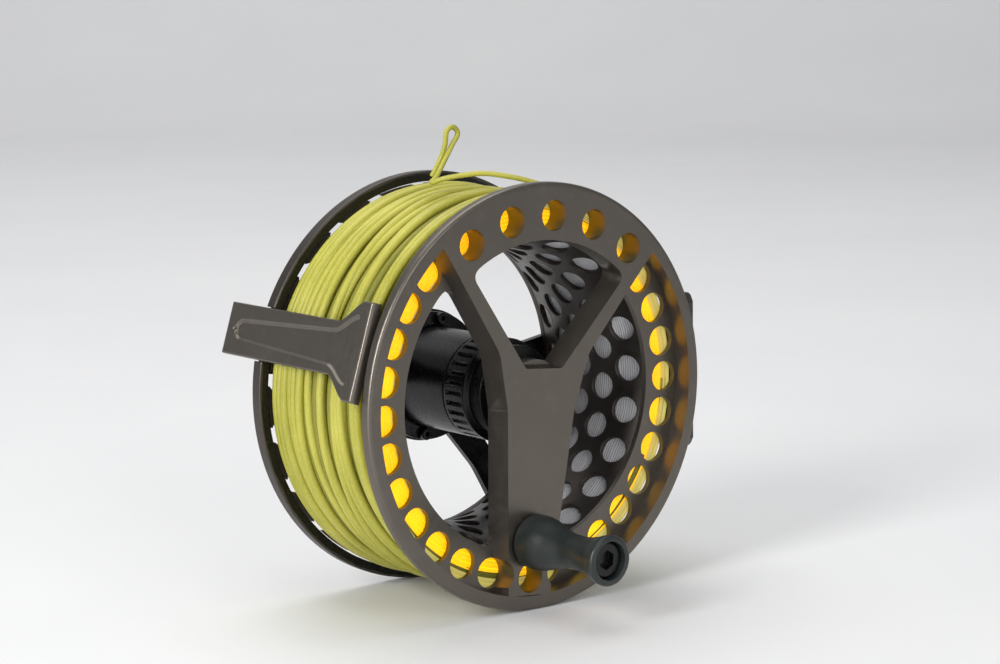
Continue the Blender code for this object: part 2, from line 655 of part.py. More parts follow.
def make_housing():
    rear = SPIDER_FRONT_Y - 0.1 * MM
    front = rear - HOUSING_FLANGE_THICK
    housing = turned("drag_housing", [
        (SPINDLE_R + RUNNING_FIT, rear), (HUB_R - 0.5 * MM, rear), (HUB_R - 0.5 * MM, front + 0.4 * MM),
        (HUB_R - 0.9 * MM, front), (HOUSING_R + 0.5 * MM, front), (HOUSING_R, front - 0.5 * MM),
        (HOUSING_R, HOUSING_FRONT_Y + 0.4 * MM), (HOUSING_R - 0.4 * MM, HOUSING_FRONT_Y),
        (HOUSING_BORE_R, HOUSING_FRONT_Y), (HOUSING_BORE_R, front), (SPINDLE_R + RUNNING_FIT, front),
    ], HOUSING_STEPS, "black_anodised")
    bm = bmesh.new()
    for angle in HOUSING_SCREW_ANGLES:
        centre = (HOUSING_SCREW_RING_R * math.sin(angle), HOUSING_SCREW_RING_R * math.cos(angle))
        add_screw_hole(bm, centre, front - MM, rear + MM)
    apply_boolean(housing, to_object("housing_holes", bm), "DIFFERENCE")
    smooth(housing)
    for number, angle in enumerate(HOUSING_SCREW_ANGLES, 1):
        centre = (HOUSING_SCREW_RING_R * math.sin(angle), HOUSING_SCREW_RING_R * math.cos(angle))
        make_screw(f"housing_screw_{number}", centre, front - 0.1 * MM, front - 1.5 * MM,
                   REEL_DEPTH - 0.4 * MM, HOUSING_SCREW_HEAD_R, "black_anodised")


def make_spindle():
    front = BEARING_SEAT_Y + 0.5 * MM
    rear = REEL_DEPTH + 3.2 * MM
    smooth(turned("spindle", [
        (0, front), (SPINDLE_R - 0.4 * MM, front), (SPINDLE_R, front + 0.4 * MM),
        (SPINDLE_R, rear - 0.4 * MM), (SPINDLE_R - 0.4 * MM, rear), (0, rear),
    ], 24, "steel"))
    bm = bmesh.new()
    add_prism(bm, circle(NUT_R, 6), along_spindle, REEL_DEPTH + 0.1 * MM, REEL_DEPTH + 2.7 * MM)
    nut = to_object("spindle_nut", bm, "steel")
    bm = bmesh.new()
    add_prism(bm, circle(SPINDLE_R + RUNNING_FIT, 24), along_spindle, REEL_DEPTH - MM, REEL_DEPTH + 5 * MM)
    apply_boolean(nut, to_object("nut_bore", bm), "DIFFERENCE")
    smooth(nut)


def make_knob():
    skirt_end = HOUSING_FRONT_Y - GAP
    spigot_end = skirt_end + 1.6 * MM
    spigot_r = HOUSING_BORE_R - GAP
    nose_r = KNOB_R - 1.3 * MM
    bore = SLEEVE_R + 0.5 * MM
    profile = [
        (bore, KNOB_FRONT_Y), (nose_r - 0.4 * MM, KNOB_FRONT_Y), (nose_r, KNOB_FRONT_Y + 0.4 * MM),
        (nose_r, skirt_end - 7.8 * MM), (KNOB_R, skirt_end - 7.4 * MM), (KNOB_R, skirt_end),
        (spigot_r, skirt_end), (spigot_r, spigot_end), (bore, spigot_end),
    ]
    knob = turned("drag_knob", profile, 64, "black_anodised")
    bm = bmesh.new()
    for i in range(KNOB_TEETH):
        angle = math.tau * i / KNOB_TEETH
        centre = (KNOB_R * math.sin(angle), KNOB_R * math.cos(angle))
        groove = circle(0.65 * MM, 3, centre, angle + math.pi)
        add_prism(bm, groove, along_spindle, skirt_end - 6.6 * MM, skirt_end - 0.7 * MM)
    apply_boolean(knob, to_object("knob_grooves", bm), "DIFFERENCE")
    smooth(knob)


def make_drag():
    """What lies between the knob and the back of the housing, from front to back."""
    plate_front = CAVITY_FRONT_Y + 0.2 * MM
    plate_rear = plate_front + 1.6 * MM
    plate_r = HOUSING_BORE_R - 0.8 * MM
    plate_bore = SLEEVE_R + 0.5 * MM
    smooth(turned("pressure_plate", [
        (plate_bore, plate_front), (plate_r, plate_front), (plate_r, plate_rear), (plate_bore, plate_rear),
    ], HOUSING_STEPS, "steel"))
    seal_front = CAVITY_FRONT_Y + 0.5 * MM
    seal_bore = plate_r + 0.1 * MM
    seal_r = HOUSING_BORE_R - RUNNING_FIT
    smooth(turned("housing_seal", [
        (seal_r, seal_front), (seal_bore, seal_front),
        (seal_bore, seal_front + MM), (seal_r, seal_front + MM),
    ], HOUSING_STEPS, "rubber"))
    spring_front = plate_rear + PLATE_TRAVEL + 0.2 * MM
    spring_bore = SLEEVE_R + 1.3 * MM
    spring_r = HOUSING_BORE_R - 1.2 * MM
    smooth(turned("drag_spring", [
        (spring_bore, spring_front), (spring_r, spring_front + 0.9 * MM),
        (spring_r, spring_front + 1.5 * MM), (spring_bore, spring_front + 0.6 * MM),
    ], HOUSING_STEPS, "steel"))
    make_cone(spring_front + 2.0 * MM, CAVITY_REAR_Y - 0.6 * MM)


def make_cone(front, rear):
    """The drag's cone in its liner, and what joins it to the spool: clutch, sleeve and bearing."""
    liner_r = HOUSING_BORE_R - RUNNING_FIT
    liner_bore_front = HOUSING_BORE_R - 0.9 * MM
    liner_bore_rear = HOUSING_BORE_R - 2.4 * MM
    smooth(turned("friction_liner", [
        (liner_bore_front, front), (liner_r, front), (liner_r, rear), (liner_bore_rear, rear),
    ], HOUSING_STEPS, "friction_liner"))
    cone_bore = CLUTCH_R + RUNNING_FIT
    cone_gap = 0.1 * MM
    smooth(turned("drag_cone", [
        (cone_bore, front), (liner_bore_front - cone_gap, front), (liner_bore_rear - cone_gap, rear),
        (cone_bore, rear),
    ], HOUSING_STEPS, "bronze"))
    clutch_front = front + 0.5 * MM
    clutch_rear = rear - 0.5 * MM
    clutch_bore = SLEEVE_R + RUNNING_FIT
    smooth(turned("one_way_clutch", [
        (clutch_bore, clutch_front), (CLUTCH_R, clutch_front),
        (CLUTCH_R, clutch_rear), (clutch_bore, clutch_rear),
    ], 24, "steel"))
    collar_front = BOSS_END_Y + 0.1 * MM
    collar_rear = BOSS_END_Y + 0.6 * MM
    collar_r = BEARING_SEAT_R + 1.2 * MM
    smooth(turned("drive_sleeve", [
        (SLEEVE_BORE_R, collar_front), (collar_r, collar_front), (collar_r, collar_rear),
        (SLEEVE_R, collar_rear), (SLEEVE_R, rear), (SLEEVE_BORE_R, rear),
    ], 24, "steel"))
    bearing_bore = SPINDLE_R + RUNNING_FIT
    bearing_r = BEARING_SEAT_R - RUNNING_FIT
    bearing_front = BEARING_SEAT_Y + MM
    bearing_rear = BOSS_END_Y - MM
    smooth(turned("spool_bearing", [
        (bearing_bore, bearing_front), (bearing_r, bearing_front),
        (bearing_r, bearing_rear), (bearing_bore, bearing_rear),
    ], 24, "steel"))


# ---------------------------------------------------------------- line end

def make_line_end():
    """The free end of the fly line: over the top of the spool, and back on itself in a welded loop."""
    points = [Vector(p) * MM for p in LINE_END_PATH]
    curve = bpy.data.curves.new("fly_line_end", "CURVE")
    curve.dimensions = "3D"
    curve.bevel_depth = LINE_END_DIAMETER / 2
    curve.bevel_resolution = 2
    curve.use_fill_caps = True
    spline = curve.splines.new("POLY")
    path = smooth_path(points, LINE_END_STEPS)
    spline.points.add(len(path) - 1)
    for point, co in zip(spline.points, path):
        point.co = (*co, 1)
    obj = bpy.data.objects.new("fly_line_end", curve)
    bpy.context.scene.collection.objects.link(obj)
    curve.materials.append(material("green_fly_line"))
    graph = bpy.context.evaluated_depsgraph_get()
    mesh = bpy.data.meshes.new_from_object(obj.evaluated_get(graph))
    bpy.data.objects.remove(obj)
    tube = bpy.data.objects.new("fly_line_end", mesh)
    bpy.context.scene.collection.objects.link(tube)
    nodes["fly_line_end"] = tube
    smooth(tube)


def smooth_path(points, steps):
    """Catmull-Rom curve through the points."""
    path = []
    padded = [2 * points[0] - points[1]] + points + [2 * points[-1] - points[-2]]
    for a, b, c, d in zip(padded, padded[1:], padded[2:], padded[3:]):
        for step in range(steps):
            t = step / steps
            path.append(0.5 * (2 * b + (c - a) * t + (2 * a - 5 * b + 4 * c - d) * t ** 2
                               + (3 * b - a - 3 * c + d) * t ** 3))
    return path + [points[-1]]


# ---------------------------------------------------------------- placing

SPOOL_NODES = (
    "spool_face", "spool_arbor", "spool_back_flange", "backing_winding", "running_line_winding",
    "fly_line_winding", "spool_bearing", "drive_sleeve", "one_way_clutch", "drag_cone",
)
HANDLE_NODES = ("handle_grip", "handle_pin")


def place_all():
    """Turns the spool, puts the foot's seat at the origin and sets each joint's origin."""
    for name in SPOOL_NODES + HANDLE_NODES:
        turn_about_spindle(nodes[name], SPOOL_TURN)
    seat = Vector(outward(FOOT_ANGLE)(0, SEAT_Y, FOOT_FACE - FOOT_POCKET_DEPTH))
    handle_axis = Vector(polar(HANDLE_RADIUS, math.pi + SPOOL_TURN))
    for name, obj in nodes.items():
        pivot = handle_axis if name in HANDLE_NODES else Vector((0, 0, 0))
        for vertex in obj.data.vertices:
            vertex.co -= pivot
        obj.location = pivot - seat
        obj.data.update()


def main():
    clear_scene()
    make_frame()
    make_foot()
    make_rim_guard()
    make_plate_screws()
    make_housing()
    make_spindle()
    make_knob()
    make_drag()
    make_spool_face()
    make_spool_arbor()
    make_spool_back_flange()
    make_windings()
    make_handle()
    make_line_end()
    place_all()


main()
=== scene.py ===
"""Looks of the large-arbor fly reel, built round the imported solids.

Every piece is modelled in reel coordinates, in metres: the spindle lies along Y through the origin, the spool's
front face is at y = 0 and faces -Y, and angles are clockwise from +Z as seen from the front. place() then turns
the spool's pieces to where the spool has stopped and moves each piece to its place in the row frame.
"""

import json
import math
import random

import bmesh
import bpy
import numpy as np
from mathutils import Matrix, Vector


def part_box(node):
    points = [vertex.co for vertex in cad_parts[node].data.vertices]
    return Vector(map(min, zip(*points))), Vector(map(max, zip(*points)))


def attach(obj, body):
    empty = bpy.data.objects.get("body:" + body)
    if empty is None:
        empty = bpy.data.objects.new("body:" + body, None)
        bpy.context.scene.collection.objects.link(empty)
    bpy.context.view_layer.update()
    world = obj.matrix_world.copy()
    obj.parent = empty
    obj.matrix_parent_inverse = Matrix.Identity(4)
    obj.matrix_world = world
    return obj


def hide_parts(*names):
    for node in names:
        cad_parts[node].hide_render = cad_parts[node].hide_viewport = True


MM = 0.001
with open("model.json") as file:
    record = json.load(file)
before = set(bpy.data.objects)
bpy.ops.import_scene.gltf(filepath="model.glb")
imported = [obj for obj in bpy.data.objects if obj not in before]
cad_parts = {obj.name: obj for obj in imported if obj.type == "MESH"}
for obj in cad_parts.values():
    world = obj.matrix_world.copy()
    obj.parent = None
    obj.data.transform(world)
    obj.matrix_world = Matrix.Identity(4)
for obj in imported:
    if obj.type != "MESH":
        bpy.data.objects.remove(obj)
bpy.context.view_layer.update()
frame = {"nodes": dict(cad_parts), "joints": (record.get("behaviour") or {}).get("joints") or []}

# ---------------------------------------------------------------- sizes, read from the frame

joints = {joint["name"]: joint for joint in frame["joints"]}
face_low, face_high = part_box("spool_face")
hoop_low, hoop_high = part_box("frame")
housing_low, housing_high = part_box("drag_housing")
knob_low, knob_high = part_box("drag_knob")
grip_low, grip_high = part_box("handle_grip")
axis_x, _, axis_z = joints["spool_spin"]["pos_m"]
handle_x, _, handle_z = joints["handle_turn"]["pos_m"]

ORIGIN = Vector((axis_x, face_low.y, axis_z))       # centre of the spool's front face
SPOOL_TURN = math.atan2(handle_x - axis_x, handle_z - axis_z) % math.tau - math.pi
RIM_R = (face_high.z - face_low.z) / 2
REEL_DEPTH = hoop_high.y - ORIGIN.y
FOOT_ANGLE = math.radians(-73.2)
GUARD_ANGLE = math.radians(89)
GAP = 0.3 * MM

# Spool
FACE_DEPTH = 5.8 * MM
POCKET_DEPTH = 4.5 * MM
WEB_INNER_R = 0.733 * RIM_R
LIP_INNER_R = 0.933 * RIM_R
RIM_REAR_R = 0.948 * RIM_R
SPOKE_DRAFT = 1.2 * MM              # how much narrower the Y is at its front than at its back
WINDOW_FILLET = 2.6 * MM
FACE_HOLE_R = 3.6 * MM
FACE_HOLE_RING_R = 0.846 * RIM_R
SIDE_HOLE_COUNT = 23
SIDE_HOLE_STEP = math.radians(11.89)
TOP_HOLE_COUNT = 5
TOP_HOLE_STEP = math.radians(17)
BOSS_R = 8.6 * MM
BOSS_END_Y = 8.5 * MM
BEARING_SEAT_R = 5.2 * MM
BEARING_SEAT_Y = 2.0 * MM
ARBOR_WAIST_R = 0.668 * RIM_R
ARBOR_END_R = 0.745 * RIM_R
ARBOR_WALL = 1.1 * MM
ARBOR_FRONT_Y = FACE_DEPTH + 0.2 * MM
BACK_FLANGE_THICK = 1.3 * MM
SPIDER_FRONT_Y = REEL_DEPTH - 1.8 * MM
BACK_FLANGE_Y = SPIDER_FRONT_Y - GAP - BACK_FLANGE_THICK - 0.2 * MM
BACK_FLANGE_R = 0.942 * RIM_R
ARBOR_HOLE_R = 3.15 * MM
ARBOR_COLUMNS = 22
ARBOR_ROWS = 5
BACK_HOLE_COUNT = 22
BACK_HOLE_R = 3.2 * MM
BACK_HOLE_RING_R = 0.888 * RIM_R

# Frame, foot and rim guard
HOOP_INNER_R = BACK_FLANGE_R + 0.4 * MM
HOOP_FRONT_Y = REEL_DEPTH - 3.4 * MM
HUB_R = 16.2 * MM
ARM_ANGLES = [math.radians(87), math.radians(142), math.radians(286)]
ARM_HALF_WIDTHS = [3.2 * MM, 3.2 * MM, 6.0 * MM]
SCREW_R = 1.0 * MM
SCREW_HEAD_R = 2.1 * MM
HOUSING_SCREW_RING_R = 14.2 * MM
HOUSING_SCREW_HEAD_R = 1.5 * MM
HOUSING_SCREW_ANGLES = [math.radians(a) for a in (10, 100, 190, 280)]
FOOT_FACE = 1.012 * RIM_R
FOOT_THICK = 2.2 * MM
FOOT_FRONT_Y = 4.1 * MM
FOOT_REAR_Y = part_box("foot")[1].y - ORIGIN.y
FOOT_HALF_WIDTH = 6.2 * MM
FOOT_BAR_HALF_WIDTH = 11.4 * MM
FOOT_BAR_LENGTH = 4.2 * MM
FOOT_BAR_RISE = 0.5 * MM
FOOT_POCKET_DEPTH = 0.7 * MM
GUARD_FACE = 1.045 * RIM_R
GUARD_THICK = 3.0 * MM
GUARD_HALF_LENGTH = 19.0 * MM
GUARD_HALF_WIDTH = 5.0 * MM
TAB_REAR_Y = REEL_DEPTH + GAP + 2.4 * MM
TAB_INNER = 0.80 * RIM_R
TAB_SCREW_R = 0.885 * RIM_R
FOOT_SCREW_SPREAD = 3.6 * MM
GUARD_SCREW_SPREAD = 2.7 * MM

# Drag and handle
SPINDLE_R = 3.0 * MM
HOUSING_R = 12.3 * MM
HOUSING_BORE_R = 10.6 * MM
HOUSING_FRONT_Y = housing_low.y - ORIGIN.y
HOUSING_REAR_Y = housing_high.y - ORIGIN.y
KNOB_R = (knob_high.z - knob_low.z) / 2
KNOB_FRONT_Y = knob_low.y - ORIGIN.y
KNOB_TEETH = 32
HANDLE_RADIUS = math.hypot(handle_x - axis_x, handle_z - axis_z)
HANDLE_LENGTH = ORIGIN.y - grip_low.y

# Line
WINDING_FRONT_Y = FACE_DEPTH + 0.4 * MM
WINDING_BACK_Y = BACK_FLANGE_Y - 0.4 * MM
BACKING_R = 0.80 * RIM_R
RUNNING_LINE_R = 0.872 * RIM_R
FLY_LINE_R = 0.955 * RIM_R
FLY_LINE_DIAMETER = 2.1 * MM
FLY_LINE_SWELL = 0.8 * MM           # the pile is this much higher at the back than at the front
RUNNING_LINE_DIAMETER = 1.0 * MM
RUNNING_LINE_INNER_R = 0.772 * RIM_R
LINE_END_DIAMETER = 1.25 * MM
LINE_END_PATH = [                   # reel coordinates in mm, from the winding to the tip of the loop and back
    (9.5, 9.5, 47.9), (6.5, 10.5, 48.8), (1.5, 12.5, 50.2), (-5.0, 16.0, 51.2), (-11.0, 21.0, 50.2),
    (-13.0, 24.5, 49.0), (-11.2, 25.2, 50.2), (-8.6, 25.0, 54.4), (-6.6, 25.0, 57.5), (-5.0, 25.0, 60.0),
    (-6.4, 25.0, 61.6), (-8.3, 25.0, 60.6), (-8.6, 25.2, 57.6), (-9.0, 26.4, 54.2), (-11.4, 26.6, 50.2),
]


# ---------------------------------------------------------------- shape helpers

def polar(radius, angle, y=0.0):
    return (radius * math.sin(angle), y, radius * math.cos(angle))


def to_object(name, bm):
    bmesh.ops.recalc_face_normals(bm, faces=bm.faces)
    if bm.calc_volume(signed=True) < 0:
        bmesh.ops.reverse_faces(bm, faces=bm.faces)
    mesh = bpy.data.meshes.new(name)
    bm.to_mesh(mesh)
    bm.free()
    obj = bpy.data.objects.new(name, mesh)
    bpy.context.scene.collection.objects.link(obj)
    return obj


def rounded(corners, steps=6):
    """Rounds the corners of a closed outline of (x, y, fillet radius)."""
    points = []
    count = len(corners)
    for i, (x, y, fillet) in enumerate(corners):
        if fillet == 0:
            points.append((x, y))
            continue
        before, after = corners[i - 1], corners[(i + 1) % count]
        to_before = Vector((before[0] - x, before[1] - y))
        to_after = Vector((after[0] - x, after[1] - y))
        reach = fillet / math.tan(to_before.angle(to_after) / 2)
        start = Vector((x, y)) + to_before.normalized() * reach
        end = Vector((x, y)) + to_after.normalized() * reach
        for step in range(steps + 1):
            t = step / steps
            point = (1 - t) ** 2 * start + 2 * t * (1 - t) * Vector((x, y)) + t * t * end
            points.append(tuple(point))
    return points


def mirrored(half):
    """Closes a right-hand half outline, given top to bottom, with its mirror image."""
    return half + [(-x, y, fillet) for x, y, fillet in reversed(half)]


def circle(radius, steps, centre=(0.0, 0.0), phase=0.0):
    return [
        (centre[0] + radius * math.sin(phase + math.tau * i / steps),
         centre[1] + radius * math.cos(phase + math.tau * i / steps))
        for i in range(steps)
    ]


def turned(name, profile, steps=128):
    """The solid made by turning a closed outline of (radius, y) about Y."""
    bm = bmesh.new()
    rings = []
    for radius, y in profile:
        count = 1 if radius < 1e-7 else steps
        rings.append([bm.verts.new(polar(radius, math.tau * i / steps, y)) for i in range(count)])
    for first, second in zip(rings, rings[1:] + rings[:1]):
        for i in range(steps):
            j = (i + 1) % steps
            corners = [first[i % len(first)], first[j % len(first)], second[j % len(second)], second[i % len(second)]]
            unique = list(dict.fromkeys(corners))
            if len(unique) > 2:
                bm.faces.new(unique)
    return to_object(name, bm)


def add_prism(bm, outline, place_point, low, high):
    bottom = [bm.verts.new(place_point(u, v, low)) for u, v in outline]
    top = [bm.verts.new(place_point(u, v, high)) for u, v in outline]
    bm.faces.new(bottom)
    bm.faces.new(top)
    for i in range(len(outline)):
        j = (i + 1) % len(outline)
        bm.faces.new([bottom[i], bottom[j], top[j], top[i]])


def prism(name, outline, place_point, low, high):
    bm = bmesh.new()
    add_prism(bm, outline, place_point, low, high)
    return to_object(name, bm)


def along_spindle(u, v, w):
    return (u, w, v)


def outward(angle):
    """Placing for a plate square to the radius at this angle: u tangential, v along Y, w outward."""
    def place_point(u, v, w):
        return (
            w * math.sin(angle) + u * math.cos(angle),
            v,
            w * math.cos(angle) - u * math.sin(angle),
        )
    return place_point


def grid_faces(rows, columns, wrap_rows=False, wrap_columns=False):
    """Quads of a grid of points numbered row by row."""
    faces = []
    for i in range(rows if wrap_rows else rows - 1):
        for j in range(columns if wrap_columns else columns - 1):
            k, m = (i + 1) % rows, (j + 1) % columns
            faces.append((i * columns + j, i * columns + m, k * columns + m, k * columns + j))
    return faces


def from_points(name, points, faces):
    mesh = bpy.data.meshes.new(name)
    mesh.from_pydata([tuple(p) for p in points], [], faces)
    mesh.update()
    obj = bpy.data.objects.new(name, mesh)
    bpy.context.scene.collection.objects.link(obj)
    return obj


def evaluate(obj):
    """Bakes the object's modifiers into its mesh."""
    graph = bpy.context.evaluated_depsgraph_get()
    result = bpy.data.meshes.new_from_object(obj.evaluated_get(graph))
    obj.modifiers.clear()
    old = obj.data
    obj.data = result
    bpy.data.meshes.remove(old)


def boolean(target, cutter, operation, solver="MANIFOLD"):
    modifier = target.modifiers.new("cut", "BOOLEAN")
    modifier.operation = operation
    modifier.solver = solver
    modifier.object = cutter
    evaluate(target)
    bpy.data.objects.remove(cutter)


def soften(obj, width, segments=3, angle=30):
    """Joins flat neighbours into one face, rounds every edge and shades the result smooth."""
    bm = bmesh.new()
    bm.from_mesh(obj.data)
    bmesh.ops.remove_doubles(bm, verts=bm.verts, dist=0.004 * MM)
    bmesh.ops.dissolve_limit(bm, angle_limit=math.radians(0.6), verts=bm.verts, edges=bm.edges)
    bm.to_mesh(obj.data)
    bm.free()
    bevel = obj.modifiers.new("edges", "BEVEL")
    bevel.width = width
    bevel.segments = segments
    bevel.limit_method = "ANGLE"
    bevel.angle_limit = math.radians(angle)
    bevel.harden_normals = False
    evaluate(obj)
    shade(obj)
    weighted = obj.modifiers.new("normals", "WEIGHTED_NORMAL")
    weighted.keep_sharp = True
    weighted.weight = 60


def shade(obj, degrees=38):
    obj.data.shade_smooth()
    obj.data.set_sharp_from_angle(angle=math.radians(degrees))


def move(obj, x, z):
    obj.data.transform(Matrix.Translation((x, 0, z)))


def place(obj, body, slot, look, *nodes, turn=0.0):
    """Moves a finished piece to the row frame, gives it its body and its material, and hides the solids it stands for.
    """
    obj.data.transform(Matrix.Translation(ORIGIN) @ Matrix.Rotation(turn, 4, "Y"))
    obj.data.materials.clear()
    obj.data.materials.append(look)
    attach(obj, body)
    if nodes:
        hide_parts(*nodes)
    return obj


def smooth_path(points, steps):
    """Catmull-Rom curve through the points."""
    path = []
    padded = [2 * points[0] - points[1]] + points + [2 * points[-1] - points[-2]]
    for a, b, c, d in zip(padded, padded[1:], padded[2:], padded[3:]):
        for step in range(steps):
            t = step / steps
            path.append(0.5 * (2 * b + (c - a) * t + (2 * a - 5 * b + 4 * c - d) * t ** 2
                               + (3 * b - a - 3 * c + d) * t ** 3))
    return path + [points[-1]]


# ---------------------------------------------------------------- materials

class Look:
    """A Principled material whose colour, roughness and bump all come from textures in object coordinates."""

    def __init__(self, name, roughness=0.5, metallic=0.0):
        self.material = bpy.data.materials.new(name)
        self.material.use_nodes = True
        self.tree = self.material.node_tree
        self.shader = self.tree.nodes["Principled BSDF"]
        self.shader.inputs["Metallic"].default_value = metallic
        self.shader.inputs["Roughness"].default_value = roughness
        self.normal = None
        self.where = self.tree.nodes.new("ShaderNodeTexCoord").outputs["Object"]

    def link(self, source, target):
        self.tree.links.new(source, target)

    def noise(self, per_metre, detail=4.0, stretch=(1, 1, 1)):
        """Noise with about this many features to a metre, stretched along the axes."""
        mapping = self.tree.nodes.new("ShaderNodeMapping")
        mapping.inputs["Scale"].default_value = stretch
        self.link(self.where, mapping.inputs["Vector"])
        texture = self.tree.nodes.new("ShaderNodeTexNoise")
        texture.inputs["Scale"].default_value = per_metre
        texture.inputs["Detail"].default_value = detail
        self.link(mapping.outputs["Vector"], texture.inputs["Vector"])
        return texture.outputs["Fac"]

    def spread(self, value, low, high, from_low=0.3, from_high=0.7):
        remap = self.tree.nodes.new("ShaderNodeMapRange")
        remap.inputs["From Min"].default_value = from_low
        remap.inputs["From Max"].default_value = from_high
        remap.inputs["To Min"].default_value = low
        remap.inputs["To Max"].default_value = high
        self.link(value, remap.inputs["Value"])
        return remap.outputs["Result"]

    def blend(self, factor, first, second):
        """Colours may be (r, g, b) or an output."""
        mix = self.tree.nodes.new("ShaderNodeMix")
        mix.data_type = "RGBA"
        self.link(factor, mix.inputs["Factor"])
        for socket, colour in (("A", first), ("B", second)):
            target = [s for s in mix.inputs if s.name == socket and s.type == "RGBA"][0]
            if isinstance(colour, tuple):
                target.default_value = (*colour, 1)
            else:
                self.link(colour, target)
        return [s for s in mix.outputs if s.type == "RGBA"][0]

    def colour(self, output):
        self.link(output, self.shader.inputs["Base Color"])

    def roughness(self, output):
        self.link(output, self.shader.inputs["Roughness"])

    def bump(self, height, depth, strength=1.0):
        """Adds a bump of this depth in metres on top of the bumps so far."""
        node = self.tree.nodes.new("ShaderNodeBump")
        node.inputs["Distance"].default_value = depth
        node.inputs["Strength"].default_value = strength
        self.link(height, node.inputs["Height"])
        if self.normal:
            self.link(self.normal, node.inputs["Normal"])
        self.normal = node.outputs["Normal"]
        self.link(self.normal, self.shader.inputs["Normal"])

    def math(self, operation, first, second=None):
        node = self.tree.nodes.new("ShaderNodeMath")
        node.operation = operation
        for socket, value in zip(node.inputs, (first, second)):
            if value is None:
                continue
            if isinstance(value, (int, float)):
                socket.default_value = value
            else:
                self.link(value, socket)
        return node.outputs["Value"]


def anodised(name, colour, worn, roughness, metallic, grain=0.012 * MM):
    """Blasted and anodised aluminium: an even grain, faint clouding and a few rubbed places."""
    look = Look(name, metallic=metallic)
    clouds = look.noise(90, 3)
    rubbed = look.spread(look.noise(350, 6), 0, 0.12, 0.55, 0.8)
    base = look.blend(look.spread(clouds, 0, 1), colour, tuple(0.93 * c for c in colour))
    look.colour(look.blend(rubbed, base, worn))
    look.roughness(look.spread(look.noise(700, 5), roughness - 0.05, roughness + 0.06))
    look.bump(look.noise(4200, 2), grain)
    look.bump(look.noise(900, 3, (1, 0.25, 1)), 0.4 * grain)
    return look.material


def gloss_black(name, roughness):
    """Polished black anodising with fine handling scratches and a little dust."""
    look = Look(name)
    dust = look.spread(look.noise(1500, 8), 0, 0.10, 0.58, 0.85)
    look.colour(look.blend(dust, (0.005, 0.005, 0.006), (0.05, 0.05, 0.05)))
    look.shader.inputs["Specular IOR Level"].default_value = 0.32
    look.roughness(look.spread(look.noise(500, 6, (1, 6, 1)), roughness - 0.04, roughness + 0.07))
    look.bump(look.noise(2600, 3, (1, 5, 1)), 0.0025 * MM)
    return look.material


def satin_plastic(name, colour, paler, roughness):
    look = Look(name)
    look.colour(look.blend(look.spread(look.noise(260, 5), 0, 1), colour, paler))
    look.roughness(look.spread(look.noise(800, 5), roughness - 0.06, roughness + 0.08))
    look.bump(look.noise(2200, 3), 0.008 * MM)
    return look.material


def machined(name, colour, roughness):
    """Turned metal, with fine tool marks round the spindle."""
    look = Look(name, metallic=1.0)
    look.colour(look.blend(look.spread(look.noise(300, 4), 0, 1), colour, tuple(0.75 * c for c in colour)))
    look.roughness(look.spread(look.noise(900, 4, (1, 8, 1)), roughness - 0.06, roughness + 0.08))
    look.bump(look.noise(1600, 3, (0.4, 9, 0.4)), 0.004 * MM)
    return look.material


def line_coating(name, colour, deep, pale, sheen, painted_glow):
    """The smooth skin of a fly line: clouded colour, faint specks, a soft sheen and an emission glow of its own colour,
    painted light that brightens it where it lies in shade behind the spool's face.
    """
    look = Look(name)
    base = look.blend(look.spread(look.noise(55, 3), 0, 1), colour, deep)
    specks = look.spread(look.noise(2400, 4), 0, 0.5, 0.52, 0.8)
    tinted = look.blend(specks, base, pale)
    look.colour(tinted)
    # Painted light: the line's own colour is also given off as an emission glow, so turns lying in shade behind the
    # face still look lit.
    look.link(tinted, look.shader.inputs["Emission Color"])
    look.shader.inputs["Emission Strength"].default_value = painted_glow
    look.roughness(look.spread(look.noise(600, 4), sheen - 0.07, sheen + 0.09))
    look.bump(look.noise(1500, 4), 0.02 * MM)
    look.shader.inputs["Subsurface Weight"].default_value = 0.12
    look.shader.inputs["Subsurface Radius"].default_value = (1.0, 0.8, 0.3)
    look.shader.inputs["Subsurface Scale"].default_value = 0.6 * MM
    return look.material


def braid(name):
    """Braided backing: fine crossing yarns over an uneven winding, greyed in the grooves between the yarns as painted
    shade.
    """
    look = Look(name)
    split = look.tree.nodes.new("ShaderNodeSeparateXYZ")
    look.link(look.where, split.inputs["Vector"])
    around = look.math("ARCTAN2", look.math("SUBTRACT", split.outputs["X"], ORIGIN.x),
                       look.math("SUBTRACT", split.outputs["Z"], ORIGIN.z))
    length = look.math("MULTIPLY", around, ARBOR_WAIST_R)
    wobble = look.math("MULTIPLY", look.noise(300, 3), 0.5 * MM)
    across = look.math("ADD", split.outputs["Y"], wobble)
    pitch = 0.62 * MM
    strands = look.math("SINE", look.math("MULTIPLY", across, math.tau / pitch))
    lays = []
    for sign in (1, -1):
        slanted = look.math("ADD", length, look.math("MULTIPLY", across, 0.9 * sign))
        lays.append(look.math("SINE", look.math("MULTIPLY", slanted, math.tau / pitch)))
    yarns = look.math("MULTIPLY", lays[0], lays[1])
    height = look.math("ADD", look.math("MULTIPLY", strands, 0.7), look.math("MULTIPLY", yarns, 0.5))
    # Painted shade: the white yarns turn grey where the height is low, in the grooves between strands.
    painted_groove_shade = look.spread(height, 0, 1, -1.0, 0.4)
    look.colour(look.blend(painted_groove_shade, (0.42, 0.42, 0.44), (0.93, 0.93, 0.95)))
    look.roughness(look.spread(look.noise(900, 3), 0.7, 0.9))
    look.bump(height, 0.12 * MM, 0.9)
    return look.material


def paper(name):
    look = Look(name)
    look.colour(look.blend(look.spread(look.noise(6, 3), 0, 1), (0.80, 0.80, 0.80), (0.775, 0.775, 0.78)))
    look.roughness(look.spread(look.noise(40, 4), 0.5, 0.62))
    look.bump(look.noise(900, 3), 0.02 * MM)
    return look.material


